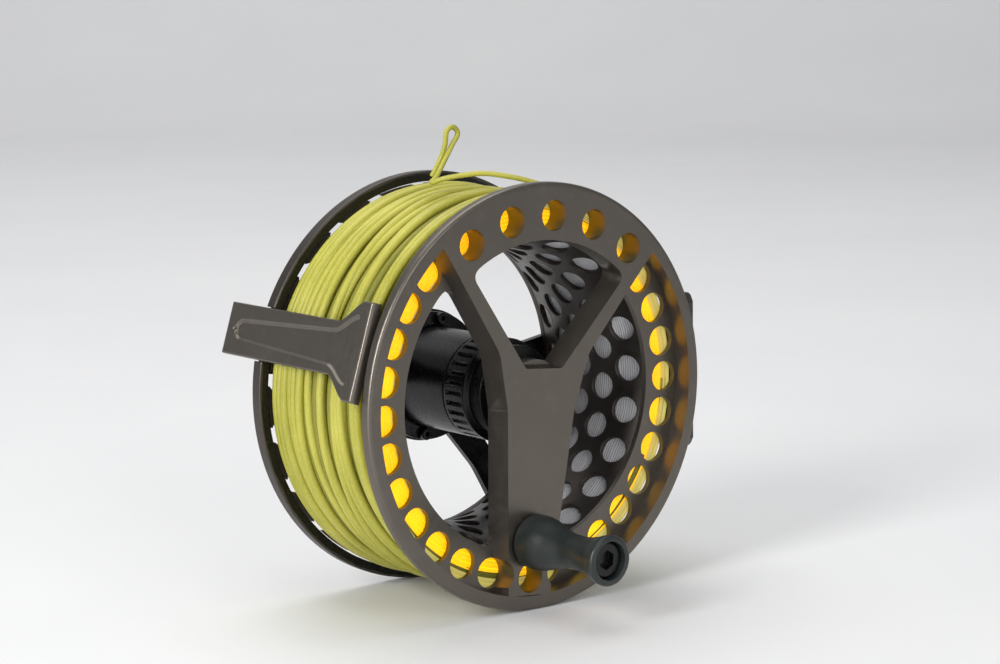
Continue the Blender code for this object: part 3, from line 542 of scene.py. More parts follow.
def all_looks():
    return {
        "gunmetal": anodised("gunmetal", (0.155, 0.138, 0.118), (0.30, 0.27, 0.235), 0.34, 0.9),
        "dark_gunmetal": anodised("dark_gunmetal", (0.085, 0.075, 0.068), (0.20, 0.18, 0.165), 0.42, 0.88),
        "black_anodised": gloss_black("black_anodised", 0.26),
        "black_plastic": satin_plastic("black_plastic", (0.010, 0.013, 0.013), (0.020, 0.026, 0.024), 0.34),
        "steel": machined("steel", (0.55, 0.55, 0.54), 0.28),
        "bronze": machined("bronze", (0.45, 0.30, 0.14), 0.35),
        "friction_liner": satin_plastic("friction_liner", (0.20, 0.12, 0.07), (0.26, 0.17, 0.10), 0.8),
        "rubber": satin_plastic("rubber", (0.018, 0.018, 0.018), (0.03, 0.03, 0.03), 0.7),
        "white_backing": braid("white_backing"),
        # The last number of each fly-line colour is a painted glow: the orange running line and the pale taper give off
        # their own colour so they look lit in the shade behind the spool's face.
        "orange_running_line": line_coating("orange_running_line", (1.0, 0.62, 0.006), (1.0, 0.47, 0.003),
                                            (1.0, 0.78, 0.07), 0.45, 0.75),
        "pale_running_line": line_coating("pale_running_line", (0.50, 0.47, 0.13), (0.56, 0.42, 0.10),
                                          (0.60, 0.57, 0.24), 0.45, 0.5),
        # Painted shade: a darker copy of the green fly line's colour, for the inner turns that lie in shade in the
        # pile.
        "shaded_fly_line": line_coating("shaded_fly_line", (0.23, 0.22, 0.020), (0.15, 0.15, 0.010),
                                        (0.36, 0.34, 0.07), 0.5, 0.0),
        "green_fly_line": line_coating("green_fly_line", (0.47, 0.44, 0.065), (0.33, 0.32, 0.030),
                                       (0.62, 0.59, 0.21), 0.42, 0.0),
        "paper": paper("paper"),
    }


# ---------------------------------------------------------------- camera and line end, made first

def make_camera():
    """Looks down a little from the left of the front, a long way off through a long lens."""
    azimuth, elevation = math.radians(-39.376), math.radians(8.115)
    distance, to_right, upward = 602.55 * MM, -9.8 * MM, 15.2 * MM
    right = Vector((math.cos(azimuth), math.sin(azimuth), 0))
    back = Vector((math.sin(azimuth) * math.cos(elevation), -math.cos(azimuth) * math.cos(elevation),
                   math.sin(elevation)))
    up = back.cross(right)
    data = bpy.data.cameras.new("camera")
    data.lens = 93.79
    data.sensor_width = 36
    data.clip_end = 50
    camera = bpy.data.objects.new("camera", data)
    bpy.context.scene.collection.objects.link(camera)
    camera.matrix_world = Matrix.Translation(ORIGIN + back * distance + right * to_right + up * upward) @ Matrix(
        (right, up, back)).transposed().to_4x4()
    bpy.context.scene.camera = camera


def make_line_end(looks):
    """The free end of the fly line: over the top of the spool, and back on itself in a welded loop."""
    points = [Vector(p) * MM + ORIGIN for p in LINE_END_PATH]
    path = smooth_path(points, 8)
    curve = bpy.data.curves.new("fly_line_tip", "CURVE")
    curve.dimensions = "3D"
    curve.bevel_depth = LINE_END_DIAMETER / 2
    curve.bevel_resolution = 5
    curve.use_fill_caps = True
    spline = curve.splines.new("POLY")
    spline.points.add(len(path) - 1)
    for point, co in zip(spline.points, path):
        point.co = (*co, 1)
    obj = bpy.data.objects.new("fly_line_tip", curve)
    bpy.context.scene.collection.objects.link(obj)
    curve.materials.append(looks["green_fly_line"])
    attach(obj, "frame")
    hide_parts("fly_line_end")


# ---------------------------------------------------------------- spool

def inset_outline(points, distance):
    """Moves every side of a closed outline inwards by this distance; a negative one moves them outwards."""
    area = sum(a[0] * b[1] - b[0] * a[1] for a, b in zip(points, points[1:] + points[:1]))
    side = distance * math.copysign(1, area)
    moved = []
    for before, (x, y), after in zip(points[-1:] + points[:-1], points, points[1:] + points[:1]):
        first = Vector((x - before[0], y - before[1])).normalized()
        second = Vector((after[0] - x, after[1] - y)).normalized()
        mitre = Vector((-first.y - second.y, first.x + second.x))
        mitre *= 2 / mitre.length_squared
        moved.append((x + side * mitre.x, y + side * mitre.y))
    return moved


def drafted(name, outline_at, reach=2 * MM):
    """A cutter through the face: outline_at(inset) gives as many points for any inset of the Y."""
    lean = SPOKE_DRAFT / FACE_DEPTH
    front_outline = outline_at(lean * (FACE_DEPTH + reach))
    rear_outline = outline_at(-lean * reach)
    bm = bmesh.new()
    front = [bm.verts.new((u, -reach, v)) for u, v in front_outline]
    rear = [bm.verts.new((u, FACE_DEPTH + reach, v)) for u, v in rear_outline]
    bm.faces.new(front)
    bm.faces.new(rear)
    for i in range(len(front)):
        j = (i + 1) % len(front)
        bm.faces.new([front[i], front[j], rear[j], rear[i]])
    return to_object(name, bm)


def spoke_corners():
    """The Y of the spool's face: two arms and a broad tail, joined at the hub."""
    reach = LIP_INNER_R + 1.0 * MM
    return mirrored([
        (4.9 * MM, 8.0 * MM, 1.0 * MM), (22.0 * MM, 28.8 * MM, 0), (28.5 * MM, 36.6 * MM, 0),
        (33.2 * MM, 34.0 * MM, 0), (29.6 * MM, 29.6 * MM, 0), (14.6 * MM, 9.8 * MM, 9.0 * MM),
        (11.3 * MM, -3.0 * MM, 7.0 * MM), (7.4 * MM, -reach, 0),
    ])


def inset_corners(inset):
    corners = spoke_corners()
    moved = inset_outline([(x, y) for x, y, _ in corners], inset)
    return [(x, y, fillet) for (x, y), (_, _, fillet) in zip(moved, corners)]


def meets_ring(start, through):
    """Where the line from start through another point reaches the inner edge of the web."""
    start = Vector(start[:2])
    way = (Vector(through[:2]) - start).normalized()
    along = start.dot(way)
    return start + way * (math.sqrt(along ** 2 - start.length_squared + WEB_INNER_R ** 2) - along)


def ring_arc(first, last, steps):
    """Points on the web's inner edge between two corners, clockwise, clear of the corners' fillets."""
    start = math.atan2(first.x, first.y)
    end = start + (math.atan2(last.x, last.y) - start) % math.tau
    clear = 1.4 * WINDOW_FILLET / WEB_INNER_R
    angles = np.linspace(start + clear, end - clear, steps)
    return [(WEB_INNER_R * math.sin(a), WEB_INNER_R * math.cos(a), 0) for a in angles]


def top_window(inset):
    corners = inset_corners(inset)
    right = meets_ring(corners[0], corners[1])
    left = Vector((-right.x, right.y))
    return rounded([corners[0], (*right, WINDOW_FILLET)] + ring_arc(left, right, 40)[::-1]
                   + [(*left, WINDOW_FILLET), corners[-1]], 8)


def side_window(inset):
    """The window to the right of the tail."""
    _, _, _, _, arm, elbow, hip, tail = inset_corners(inset)[:8]
    top = meets_ring(elbow, arm)
    low = meets_ring(hip, tail)
    return rounded([(*top, WINDOW_FILLET)] + ring_arc(top, low, 90) + [(*low, WINDOW_FILLET), hip, elbow], 8)


def other_side(outline_at):
    return lambda inset: [(-x, y) for x, y in outline_at(inset)]


def solid_top_outline():
    """The full-thickness stretch of rim between the two arms."""
    reach = LIP_INNER_R + 1.5 * MM
    half_angle = math.radians(43)
    steps = 48
    arc = [
        (reach * math.sin(a), reach * math.cos(a))
        for a in [half_angle - 2 * half_angle * i / steps for i in range(steps + 1)]
    ]
    inner = 0.6 * RIM_R
    return arc + [(-inner * math.sin(half_angle), inner * math.cos(half_angle)),
                  (inner * math.sin(half_angle), inner * math.cos(half_angle))]


def face_holes():
    half = SIDE_HOLE_COUNT // 2
    sides = [math.pi + SIDE_HOLE_STEP * i for i in range(-half, half + 1)]
    top = [TOP_HOLE_STEP * (i - TOP_HOLE_COUNT // 2) for i in range(TOP_HOLE_COUNT)]
    return sides + top


def make_spool_face(looks):
    face = turned("spool_front_face", [(0, 0)] + rounded([
        (RIM_R, 0, 1.1 * MM), (RIM_R, 2.6 * MM, 0.5 * MM), (RIM_R - 1.8 * MM, 3.6 * MM, 0.8 * MM),
        (RIM_REAR_R, FACE_DEPTH, 0.3 * MM), (0, FACE_DEPTH, 0), (0, 0, 0),
    ], 6)[:-2] + [(0, FACE_DEPTH)], 192)
    pocket = turned("pocket", [
        (0, -MM), (LIP_INNER_R, -MM), (LIP_INNER_R, POCKET_DEPTH), (0, POCKET_DEPTH)], 192)
    solid_top = prism("kept", solid_top_outline(), along_spindle, -2 * MM, FACE_DEPTH + 2 * MM)
    boolean(pocket, solid_top, "DIFFERENCE")
    boolean(pocket, drafted("kept", lambda inset: rounded(inset_corners(inset), 10)), "DIFFERENCE")
    boolean(face, pocket, "DIFFERENCE")
    for outline_at in (top_window, side_window, other_side(side_window)):
        boolean(face, drafted("window", outline_at), "DIFFERENCE")
    boss = turned("boss", [(0, 3 * MM), (BOSS_R, 3 * MM), (BOSS_R, BOSS_END_Y), (0, BOSS_END_Y)], 96)
    boolean(face, boss, "UNION")
    bm = bmesh.new()
    for angle in face_holes():
        centre = (FACE_HOLE_RING_R * math.sin(angle), FACE_HOLE_RING_R * math.cos(angle))
        add_prism(bm, circle(FACE_HOLE_R, 48, centre), along_spindle, -MM, FACE_DEPTH + MM)
    add_prism(bm, circle(2.1 * MM, 32, (0, -HANDLE_RADIUS)), along_spindle, -MM, FACE_DEPTH + MM)
    add_prism(bm, circle(BEARING_SEAT_R, 48), along_spindle, BEARING_SEAT_Y, BOSS_END_Y + MM)
    boolean(face, to_object("holes", bm), "DIFFERENCE")
    soften(face, 0.3 * MM)
    place(face, "spool", "gunmetal", looks["gunmetal"], "spool_face", turn=SPOOL_TURN)


def arbor_radius(y):
    """Inner radius of the arbor: a shallow waist between its two ends."""
    middle = (ARBOR_FRONT_Y + BACK_FLANGE_Y) / 2
    t = (y - middle) / (BACK_FLANGE_Y - middle)
    return ARBOR_WAIST_R + (ARBOR_END_R - ARBOR_WAIST_R) * t * t


def make_spool_arbor(looks):
    """A lattice of cells, each a patch of wall round one hole whose edges are rounded."""
    pitch = (BACK_FLANGE_Y - ARBOR_FRONT_Y) / (ARBOR_ROWS + 0.1)
    width = math.tau / ARBOR_COLUMNS
    across, along = 8, 6
    edge = 0.22 * MM
    border = (
        [(-0.5 + i / across, -0.5) for i in range(across)] + [(0.5, -0.5 + i / along) for i in range(along)]
        + [(0.5 - i / across, 0.5) for i in range(across)] + [(-0.5, 0.5 - i / along) for i in range(along)]
    )
    fillet = [(edge * (1 - math.sin(a)), edge * (1 - math.cos(a))) for a in (0, math.pi / 6, math.pi / 3, math.pi / 2)]
    lip = [(grow, depth) for grow, depth in fillet] + [(grow, ARBOR_WALL - depth) for grow, depth in reversed(fillet)]
    shares = (1.0, 0.66, 0.36, 0.14)
    layers = [(share, 0, 0) for share in shares] + [(0, grow, depth) for grow, depth in lip] + [
        (share, 0, ARBOR_WALL) for share in reversed(shares)]
    points, faces = [], []
    for row in range(ARBOR_ROWS):
        y_middle = ARBOR_FRONT_Y + pitch * (row + 0.6)
        for column in range(ARBOR_COLUMNS):
            middle = width * (column + 0.5 * (row % 2))
            first = len(points)
            for share, grow, depth in layers:
                for u, v in border:
                    bearing = math.atan2(u * width * ARBOR_WAIST_R, v * pitch)
                    hole_r = ARBOR_HOLE_R + (edge if share else grow)
                    hole_y = y_middle + hole_r * math.cos(bearing)
                    hole_a = hole_r * math.sin(bearing) / arbor_radius(hole_y)
                    y = hole_y + share * (y_middle + v * pitch - hole_y)
                    angle = middle + hole_a + share * (u * width - hole_a)
                    points.append(polar(arbor_radius(y) + depth, angle, y))
            count = len(border)
            faces += [tuple(first + i for i in face) for face in grid_faces(len(layers), count, wrap_columns=True)]
    arbor = from_points("spool_arbor_wall", points, faces)
    front_strip = turned("strip", [
        (arbor_radius(ARBOR_FRONT_Y), ARBOR_FRONT_Y), (arbor_radius(ARBOR_FRONT_Y) + ARBOR_WALL, ARBOR_FRONT_Y),
        (arbor_radius(ARBOR_FRONT_Y + 0.1 * pitch) + ARBOR_WALL, ARBOR_FRONT_Y + 0.1 * pitch),
        (arbor_radius(ARBOR_FRONT_Y + 0.1 * pitch), ARBOR_FRONT_Y + 0.1 * pitch),
    ], ARBOR_COLUMNS * across)
    bm = bmesh.new()
    bm.from_mesh(arbor.data)
    bm.from_mesh(front_strip.data)
    bpy.data.objects.remove(front_strip)
    bmesh.ops.remove_doubles(bm, verts=bm.verts, dist=0.003 * MM)
    bmesh.ops.recalc_face_normals(bm, faces=bm.faces)
    bm.to_mesh(arbor.data)
    bm.free()
    shade(arbor, 50)
    place(arbor, "spool", "dark_gunmetal", looks["dark_gunmetal"], "spool_arbor", turn=SPOOL_TURN)


def make_spool_back_flange(looks):
    inner = arbor_radius(BACK_FLANGE_Y)
    front = BACK_FLANGE_Y + 0.2 * MM
    rear = front + BACK_FLANGE_THICK
    flange = turned("spool_rear_flange", [
        (inner, front), (BACK_FLANGE_R, front), (BACK_FLANGE_R, rear), (inner, rear)], 176)
    bm = bmesh.new()
    for i in range(BACK_HOLE_COUNT):
        angle = math.tau * (i + 0.5) / BACK_HOLE_COUNT
        centre = (BACK_HOLE_RING_R * math.sin(angle), BACK_HOLE_RING_R * math.cos(angle))
        add_prism(bm, circle(BACK_HOLE_R, 36, centre), along_spindle, front - MM, rear + MM)
    boolean(flange, to_object("notches", bm), "DIFFERENCE")
    soften(flange, 0.2 * MM)
    place(flange, "spool", "dark_gunmetal", looks["dark_gunmetal"], "spool_back_flange", turn=SPOOL_TURN)


# ---------------------------------------------------------------- line

def strand(name, angles, radii, depths, thickness, sides=12):
    """A tube laid round the spindle: arrays of angle, radius, depth along Y and diameter."""
    thickness = np.broadcast_to(thickness, angles.shape)
    spokes = np.stack([np.sin(angles), np.zeros_like(angles), np.cos(angles)], 1)
    centres = spokes * radii[:, None]
    centres[:, 1] = depths
    round_ = np.linspace(0, math.tau, sides, endpoint=False)
    offsets = (np.cos(round_)[None, :, None] * spokes[:, None, :]
               + np.sin(round_)[None, :, None] * np.array([0, 1.0, 0])) * (thickness / 2)[:, None, None]
    points = (centres[:, None, :] + offsets).reshape(-1, 3)
    faces = grid_faces(len(angles), sides, wrap_columns=True)
    last = len(points) - sides
    faces += [tuple(range(sides))[::-1], tuple(range(last, last + sides))]
    return from_points(name, points, faces)


def join(name, pieces):
    bm = bmesh.new()
    for piece in pieces:
        bm.from_mesh(piece.data)
        bpy.data.objects.remove(piece)
    obj = to_object(name, bm)
    shade(obj, 60)
    return obj


def wander(draw, angles, size, slowest, fastest, terms=5):
    """A smooth random wave along a strand."""
    total = np.zeros_like(angles)
    for _ in range(terms):
        rate = draw.uniform(slowest, fastest)
        total += draw.uniform(0.3, 1.0) * np.sin(rate * angles + draw.uniform(0, math.tau))
    return size * total / terms ** 0.5


def coil(draw, radius, diameter, pitch, stray, lift, steps=110):
    """One layer of a winding, from flange to flange, with its ends tucked under."""
    low = WINDING_FRONT_Y + 0.5 * diameter
    high = WINDING_BACK_Y - 0.5 * diameter
    turns = (high - low) / pitch
    angles = np.linspace(0, math.tau * turns, int(steps * turns)) + draw.uniform(0, math.tau)
    along = np.linspace(0, 1, len(angles))
    depths = low + (high - low) * along
    edge = np.minimum(1, 5 * np.minimum(along, 1 - along))
    depths = depths + edge * (wander(draw, angles, stray, 0.12, 0.9) + wander(draw, angles, 0.4 * stray, 0.9, 2.2))
    ends = np.minimum(1, np.minimum(along, 1 - along) * turns * 3)
    swell = FLY_LINE_SWELL * ramp(depths, low, high)
    radii = radius + swell + wander(draw, angles, lift, 0.7, 2.5) - (1 - ends) * diameter * 0.8
    return strand("coil", angles, radii, np.clip(depths, low, high), diameter)


def make_fly_line(looks):
    """The inner layers fill the gaps and take a darker copy of the fly line's colour, painted shade for lying deep in
    the pile; the outer ones stray, cross and crowd the back.
    """
    draw = random.Random(7)
    gauge = FLY_LINE_DIAMETER
    outer = FLY_LINE_R - gauge / 2 - FLY_LINE_SWELL + 0.1 * MM
    shaded = [
        coil(draw, outer - 2.2 * MM, gauge, 2.15 * MM, 0.1 * MM, 0.05 * MM),
        coil(draw, outer - 1.3 * MM, gauge, 2.7 * MM, 0.5 * MM, 0.15 * MM),
    ]
    inner = join("fly_line_inner_turns", shaded)
    # The inner turns wear the darker shaded copy of the fly line: painted shade.
    place(inner, "spool", "green_fly_line", looks["shaded_fly_line"], "fly_line_winding")
    loose = [coil(draw, outer - drop, gauge, pitch, stray, 0.3 * MM)
             for drop, pitch, stray in ((0.6 * MM, 5.4 * MM, 2.0 * MM), (0.3 * MM, 7.2 * MM, 2.8 * MM),
                                        (0.1 * MM, 6.3 * MM, 2.4 * MM))]
    angles = np.linspace(0, math.tau * 1.9, 220)
    for depth, drop in ((0.55, 0.5 * MM), (1.35, 0.3 * MM), (2.3, 0.1 * MM)):
        radii = outer + FLY_LINE_SWELL - drop + wander(draw, angles, 0.12 * MM, 0.4, 1.5)
        depths = WINDING_BACK_Y - depth * gauge + wander(draw, angles, 0.35 * MM, 0.2, 0.9)
        loose.append(strand("edge", angles, np.minimum(radii, outer + FLY_LINE_SWELL),
                            np.minimum(depths, WINDING_BACK_Y - 0.5 * gauge), gauge))
    exit_point = Vector(LINE_END_PATH[0]) * MM
    exit_angle = math.atan2(exit_point.x, exit_point.z)
    exit_r = math.hypot(exit_point.x, exit_point.z)
    angles = np.linspace(exit_angle + 2.4, exit_angle, 90)
    rise = np.linspace(0, 1, 90)
    ease = rise * rise * (3 - 2 * rise)
    start_y = 12.0 * MM
    loose.append(strand("lead_in", angles, outer - 0.4 * MM + (exit_r - outer + 0.4 * MM) * ease,
                        start_y + (exit_point.y - start_y) * ease,
                        gauge + (LINE_END_DIAMETER - gauge) * ease))
    line = join("fly_line_turns", loose)
    place(line, "spool", "green_fly_line", looks["green_fly_line"], "fly_line_winding")


def make_taper(looks):
    """The pale taper between the running line and the fly line, seen end-on through the face's holes."""
    gauge = 1.3 * MM
    angles = np.linspace(0, math.tau, 200)
    turns = [strand("taper", angles, np.full(200, RUNNING_LINE_R + gauge * (step + 0.5)),
                    np.full(200, WINDING_FRONT_Y + 0.5 * gauge), gauge) for step in range(2)]
    taper = join("pale_taper_turns", turns)
    # The taper wears the pale running line with its painted glow, so it looks lit behind the face.
    place(taper, "spool", "green_fly_line", looks["pale_running_line"], "fly_line_winding")


def make_running_line(looks):
    """Fine turns under the fly line, seen end on through the holes of the spool's face."""
    draw = random.Random(3)
    pieces = []
    gauge = RUNNING_LINE_DIAMETER
    for deep in range(2):
        radius = RUNNING_LINE_INNER_R + 0.5 * gauge
        while radius < RUNNING_LINE_R - 0.4 * gauge:
            angles = np.linspace(0, math.tau, 160)
            sway = wander(draw, np.linspace(0, math.tau, 160), 0.10 * MM, 1, 1) * np.sin(angles / 2)
            depth = WINDING_FRONT_Y + gauge * (0.6 + 0.8 * deep) + draw.uniform(0, 0.15) * MM
            pieces.append(strand("turn", angles, radius + sway, np.full(160, depth), gauge))
            radius += 0.94 * gauge
    bulk = turned("bulk", rounded([
        (RUNNING_LINE_INNER_R, WINDING_FRONT_Y + 1.4 * MM, 0),
        (RUNNING_LINE_R - 0.2 * MM, WINDING_FRONT_Y + 1.4 * MM, 0.3 * MM),
        (RUNNING_LINE_R - 0.2 * MM, WINDING_BACK_Y, 0.3 * MM), (BACKING_R + 0.1 * MM, WINDING_BACK_Y, 0),
        (BACKING_R + 0.1 * MM, WINDING_FRONT_Y + 2.4 * MM, 0),
    ]), 128)
    pieces.append(bulk)
    line = join("running_line_turns", pieces)
    # These turns wear the orange running line with its painted glow, so they look lit behind the face.
    place(line, "spool", "orange_running_line", looks["orange_running_line"], "running_line_winding")


def make_backing(looks):
    """The braided backing under the rest, seen through the holes of the arbor."""
    steps = 24
    ys = [ARBOR_FRONT_Y + (BACK_FLANGE_Y - ARBOR_FRONT_Y) * i / steps for i in range(steps + 1)]
    floor = [(arbor_radius(y) + ARBOR_WALL + 0.12 * MM, y) for y in ys[1:-1]]
    front = WINDING_FRONT_Y + 0.1 * MM
    top = [(BACKING_R, WINDING_BACK_Y), (BACKING_R, WINDING_FRONT_Y + 2.4 * MM),
           (RUNNING_LINE_INNER_R + 0.2 * MM, WINDING_FRONT_Y + 1.0 * MM), (RUNNING_LINE_INNER_R, front),
           (floor[0][0], front)]
    backing = turned("backing_turns", floor + top, 176)
    shade(backing)
    place(backing, "spool", "white_backing", looks["white_backing"], "backing_winding")


# ---------------------------------------------------------------- handle

def make_handle(looks):
    rear = -0.4 * MM
    end = -HANDLE_LENGTH
    stations = [
        (6.4, 0.9), (6.4, 3.4), (6.0, 5.6), (5.0, 9.0), (4.15, 12.6), (3.95, 15.6), (4.1, 18.8), (4.8, 22.2),
        (5.65, 24.8), (5.9, 26.0),
    ]
    side = smooth_path([Vector((r, -y, 0)) * MM + Vector((0, rear, 0)) for r, y in stations], 5)
    collar = [(6.4 * MM * math.sin(a) if a > 1.2 else 5.8 * MM + 0.6 * MM * math.sin(a), rear - 0.6 * MM
               + 0.6 * MM * math.cos(a)) for a in (0, math.pi / 6, math.pi / 3)]
    nose = [(5.2 * MM + 0.7 * MM * math.cos(a), end + 0.75 * MM - 0.75 * MM * math.sin(a))
            for a in (0.3, 0.7, 1.1, math.pi / 2)]
    floor = end + 3.6 * MM
    well = [(4.55 * MM, end), (4.4 * MM, end + 0.15 * MM), (4.3 * MM, floor), (2.05 * MM, floor)]
    grip = turned("handle_knob", [(2.05 * MM, rear)] + collar + [(p.x, p.y) for p in side] + nose + well, 128)
    move(grip, 0, -HANDLE_RADIUS)
    shade(grip)
    place(grip, "handle", "black_plastic", looks["black_plastic"], "handle_grip", turn=SPOOL_TURN)
    head = end + 1.4 * MM
    shoulder = floor - 0.2 * MM
    pin = turned("handle_axle", [(0, head)] + rounded([
        (4.0 * MM, head, 0.35 * MM), (4.0 * MM, shoulder, 0), (2.0 * MM, shoulder, 0),
        (2.0 * MM, FACE_DEPTH - 0.3 * MM, 0.2 * MM), (0, FACE_DEPTH - 0.3 * MM, 0), (0, head, 0),
    ])[:-2] + [(0, FACE_DEPTH - 0.3 * MM)], 96)
    boolean(pin, prism("hex", circle(2.3 * MM, 6), along_spindle, head - MM, head + 1.7 * MM), "DIFFERENCE", "EXACT")
    soften(pin, 0.12 * MM, 2)
    move(pin, 0, -HANDLE_RADIUS)
    place(pin, "spool", "black_anodised", looks["black_anodised"], "handle_pin", turn=SPOOL_TURN)


# ---------------------------------------------------------------- frame

def tab_screw_centre(angle, sideways):
    return (
        TAB_SCREW_R * math.sin(angle) + sideways * math.cos(angle),
        TAB_SCREW_R * math.cos(angle) - sideways * math.sin(angle),
    )


def add_plate_slot(bm, angle, half_width, depth):
    side = half_width + GAP
    outline = [(-side, HOOP_FRONT_Y - MM), (side, HOOP_FRONT_Y - MM), (side, REEL_DEPTH + MM), (-side, REEL_DEPTH + MM)]
    add_prism(bm, outline, outward(angle), depth - GAP, RIM_R + 5 * MM)


def make_frame(looks):
    """The hoop behind the spool and the spider that carries the drag."""
    hoop = turned("frame_hoop_and_spider", rounded([
        (HOOP_INNER_R, HOOP_FRONT_Y, 0.25 * MM), (RIM_R, HOOP_FRONT_Y, 0.5 * MM),
        (RIM_R, REEL_DEPTH, 0.8 * MM), (HOOP_INNER_R, REEL_DEPTH, 0.3 * MM),
    ]), 192)
    hub = turned("hub", [(0, SPIDER_FRONT_Y), (HUB_R, SPIDER_FRONT_Y), (HUB_R, REEL_DEPTH), (0, REEL_DEPTH)], 128)
    reach = HOOP_INNER_R + 1.2 * MM
    for angle, half_width in zip(ARM_ANGLES, ARM_HALF_WIDTHS):
        outline = rounded([
            (-half_width - 1.5 * MM, 0, 0), (-half_width, 0.6 * reach, 20 * MM),
            (-half_width - 2.5 * MM, reach, 0), (half_width + 2.5 * MM, reach, 0),
            (half_width, 0.6 * reach, 20 * MM), (half_width + 1.5 * MM, 0, 0),
        ], 12)
        turn = [(u * math.cos(angle) + v * math.sin(angle), v * math.cos(angle) - u * math.sin(angle))
                for u, v in outline]
        boolean(hub, prism("arm", turn, along_spindle, SPIDER_FRONT_Y, REEL_DEPTH), "UNION", "EXACT")
    boolean(hoop, hub, "UNION", "EXACT")
    bm = bmesh.new()
    add_prism(bm, circle(SPINDLE_R + 0.05 * MM, 48), along_spindle, SPIDER_FRONT_Y - MM, REEL_DEPTH + MM)
    add_plate_slot(bm, FOOT_ANGLE, FOOT_HALF_WIDTH, FOOT_FACE - FOOT_THICK)
    add_plate_slot(bm, GUARD_ANGLE, GUARD_HALF_WIDTH, GUARD_FACE - GUARD_THICK)
    for angle in HOUSING_SCREW_ANGLES:
        centre = (HOUSING_SCREW_RING_R * math.sin(angle), HOUSING_SCREW_RING_R * math.cos(angle))
        add_prism(bm, circle(SCREW_R + 0.05 * MM, 24, centre), along_spindle, SPIDER_FRONT_Y - MM, REEL_DEPTH + MM)
    boolean(hoop, to_object("cuts", bm), "DIFFERENCE", "EXACT")
    soften(hoop, 0.2 * MM)
    place(hoop, "frame", "dark_gunmetal", looks["dark_gunmetal"], "frame")
    hoop.data.materials.append(looks["black_anodised"])
    for polygon in hoop.data.polygons:
        offset = polygon.center - ORIGIN
        polygon.material_index = int(math.hypot(offset.x, offset.z) < HOOP_INNER_R - 0.3 * MM)


def ramp(value, low, high):
    """0 below low, 1 above high and a smooth step between."""
    t = np.clip((value - low) / (high - low), 0, 1)
    return t * t * (3 - 2 * t)


def plate_surface(name, angle, half_width_at, height_at, base, y_from, y_to, cell=0.16 * MM):
    """A plate whose outer face is a height field: its outline is half_width_at(y), its edges are rounded."""
    edge = 0.45 * MM
    rows = int((y_to - y_from) / cell)
    columns = 61
    ys = np.linspace(y_from, y_to, rows)
    half = half_width_at(ys)
    sides = np.sin(np.linspace(-1, 1, columns) * math.pi / 2) * 0.5 + np.linspace(-1, 1, columns) * 0.5
    us = half[:, None] * sides[None, :]
    vs = np.repeat(ys[:, None], columns, 1)
    inset = np.minimum(half[:, None] - np.abs(us), np.minimum(vs - y_from, y_to - vs))
    inset = np.clip(inset, 0, edge)
    rounding = edge - np.sqrt(edge ** 2 - (edge - inset) ** 2)
    tops = height_at(us, vs) - rounding
    put = outward(angle)
    top = [put(u, v, w) for u, v, w in zip(us.ravel(), vs.ravel(), tops.ravel())]
    low = [put(u, v, base) for u, v in zip(us.ravel(), vs.ravel())]
    faces = grid_faces(rows, columns)
    shift = len(top)
    faces += [tuple(i + shift for i in reversed(face)) for face in grid_faces(rows, columns)]
    border = [i for i in range(columns)] + [i * columns + columns - 1 for i in range(1, rows)]
    border += [(rows - 1) * columns + i for i in reversed(range(columns - 1))]
    border += [i * columns for i in reversed(range(1, rows - 1))]
    for i, j in zip(border, border[1:] + border[:1]):
        faces.append((i, i + shift, j + shift, j))
    plate = from_points(name, top + low, faces)
    bm = bmesh.new()
    bm.from_mesh(plate.data)
    bmesh.ops.recalc_face_normals(bm, faces=bm.faces)
    bm.to_mesh(plate.data)
    bm.free()
    return plate


def foot_half_width(ys):
    bar_rear = FOOT_FRONT_Y + FOOT_BAR_LENGTH
    flare = ramp(ys, bar_rear - 1.2 * MM, bar_rear + 7.6 * MM)
    return FOOT_BAR_HALF_WIDTH + (FOOT_HALF_WIDTH - FOOT_BAR_HALF_WIDTH) * flare


def foot_height(us, ys):
    bar_rear = FOOT_FRONT_Y + FOOT_BAR_LENGTH
    wall = 0.9 * MM
    pocket_half = 7.8 * MM + (3.9 - 7.8) * MM * ramp(ys, bar_rear, bar_rear + 8.5 * MM)
    pocket_half = pocket_half + (2.1 - 3.9) * MM * np.clip((ys - bar_rear - 8.0 * MM) / (37.0 * MM), 0, 1)
    tip = FOOT_REAR_Y - 3.6 * MM
    near_tip = np.clip((ys - tip + 2.1 * MM) / (2.1 * MM), 0, 1)
    pocket_half = pocket_half * np.sqrt(1 - near_tip ** 2)
    inside = ramp(pocket_half - np.abs(us), -wall / 2, wall / 2) * (ys < tip + wall)
    inside = inside * ramp(ys, bar_rear - 0.9 * MM, bar_rear + 0.3 * MM)
    middle = FOOT_FRONT_Y + FOOT_BAR_LENGTH / 2
    across = np.clip((ys - middle) / (FOOT_BAR_LENGTH / 2), -1, 1)
    crest = FOOT_BAR_RISE * np.sqrt(1 - across ** 2)
    return FOOT_FACE + crest - FOOT_POCKET_DEPTH * inside


def make_tab(name, angle, half_width, outer, spread):
    """The tab behind the hoop, with two counterbored screw holes."""
    side = half_width - 0.3 * MM
    tab = prism(name, [(-side, REEL_DEPTH + GAP), (side, REEL_DEPTH + GAP), (side, TAB_REAR_Y), (-side, TAB_REAR_Y)],
                outward(angle), TAB_INNER, outer)
    for sign in (-1, 1):
        centre = tab_screw_centre(angle, sign * spread)
        head = circle(SCREW_HEAD_R + 0.12 * MM, 40, centre)
        boolean(tab, prism("head", head, along_spindle, TAB_REAR_Y - 1.2 * MM, TAB_REAR_Y + MM), "DIFFERENCE", "EXACT")
    soften(tab, 0.3 * MM)
    return tab


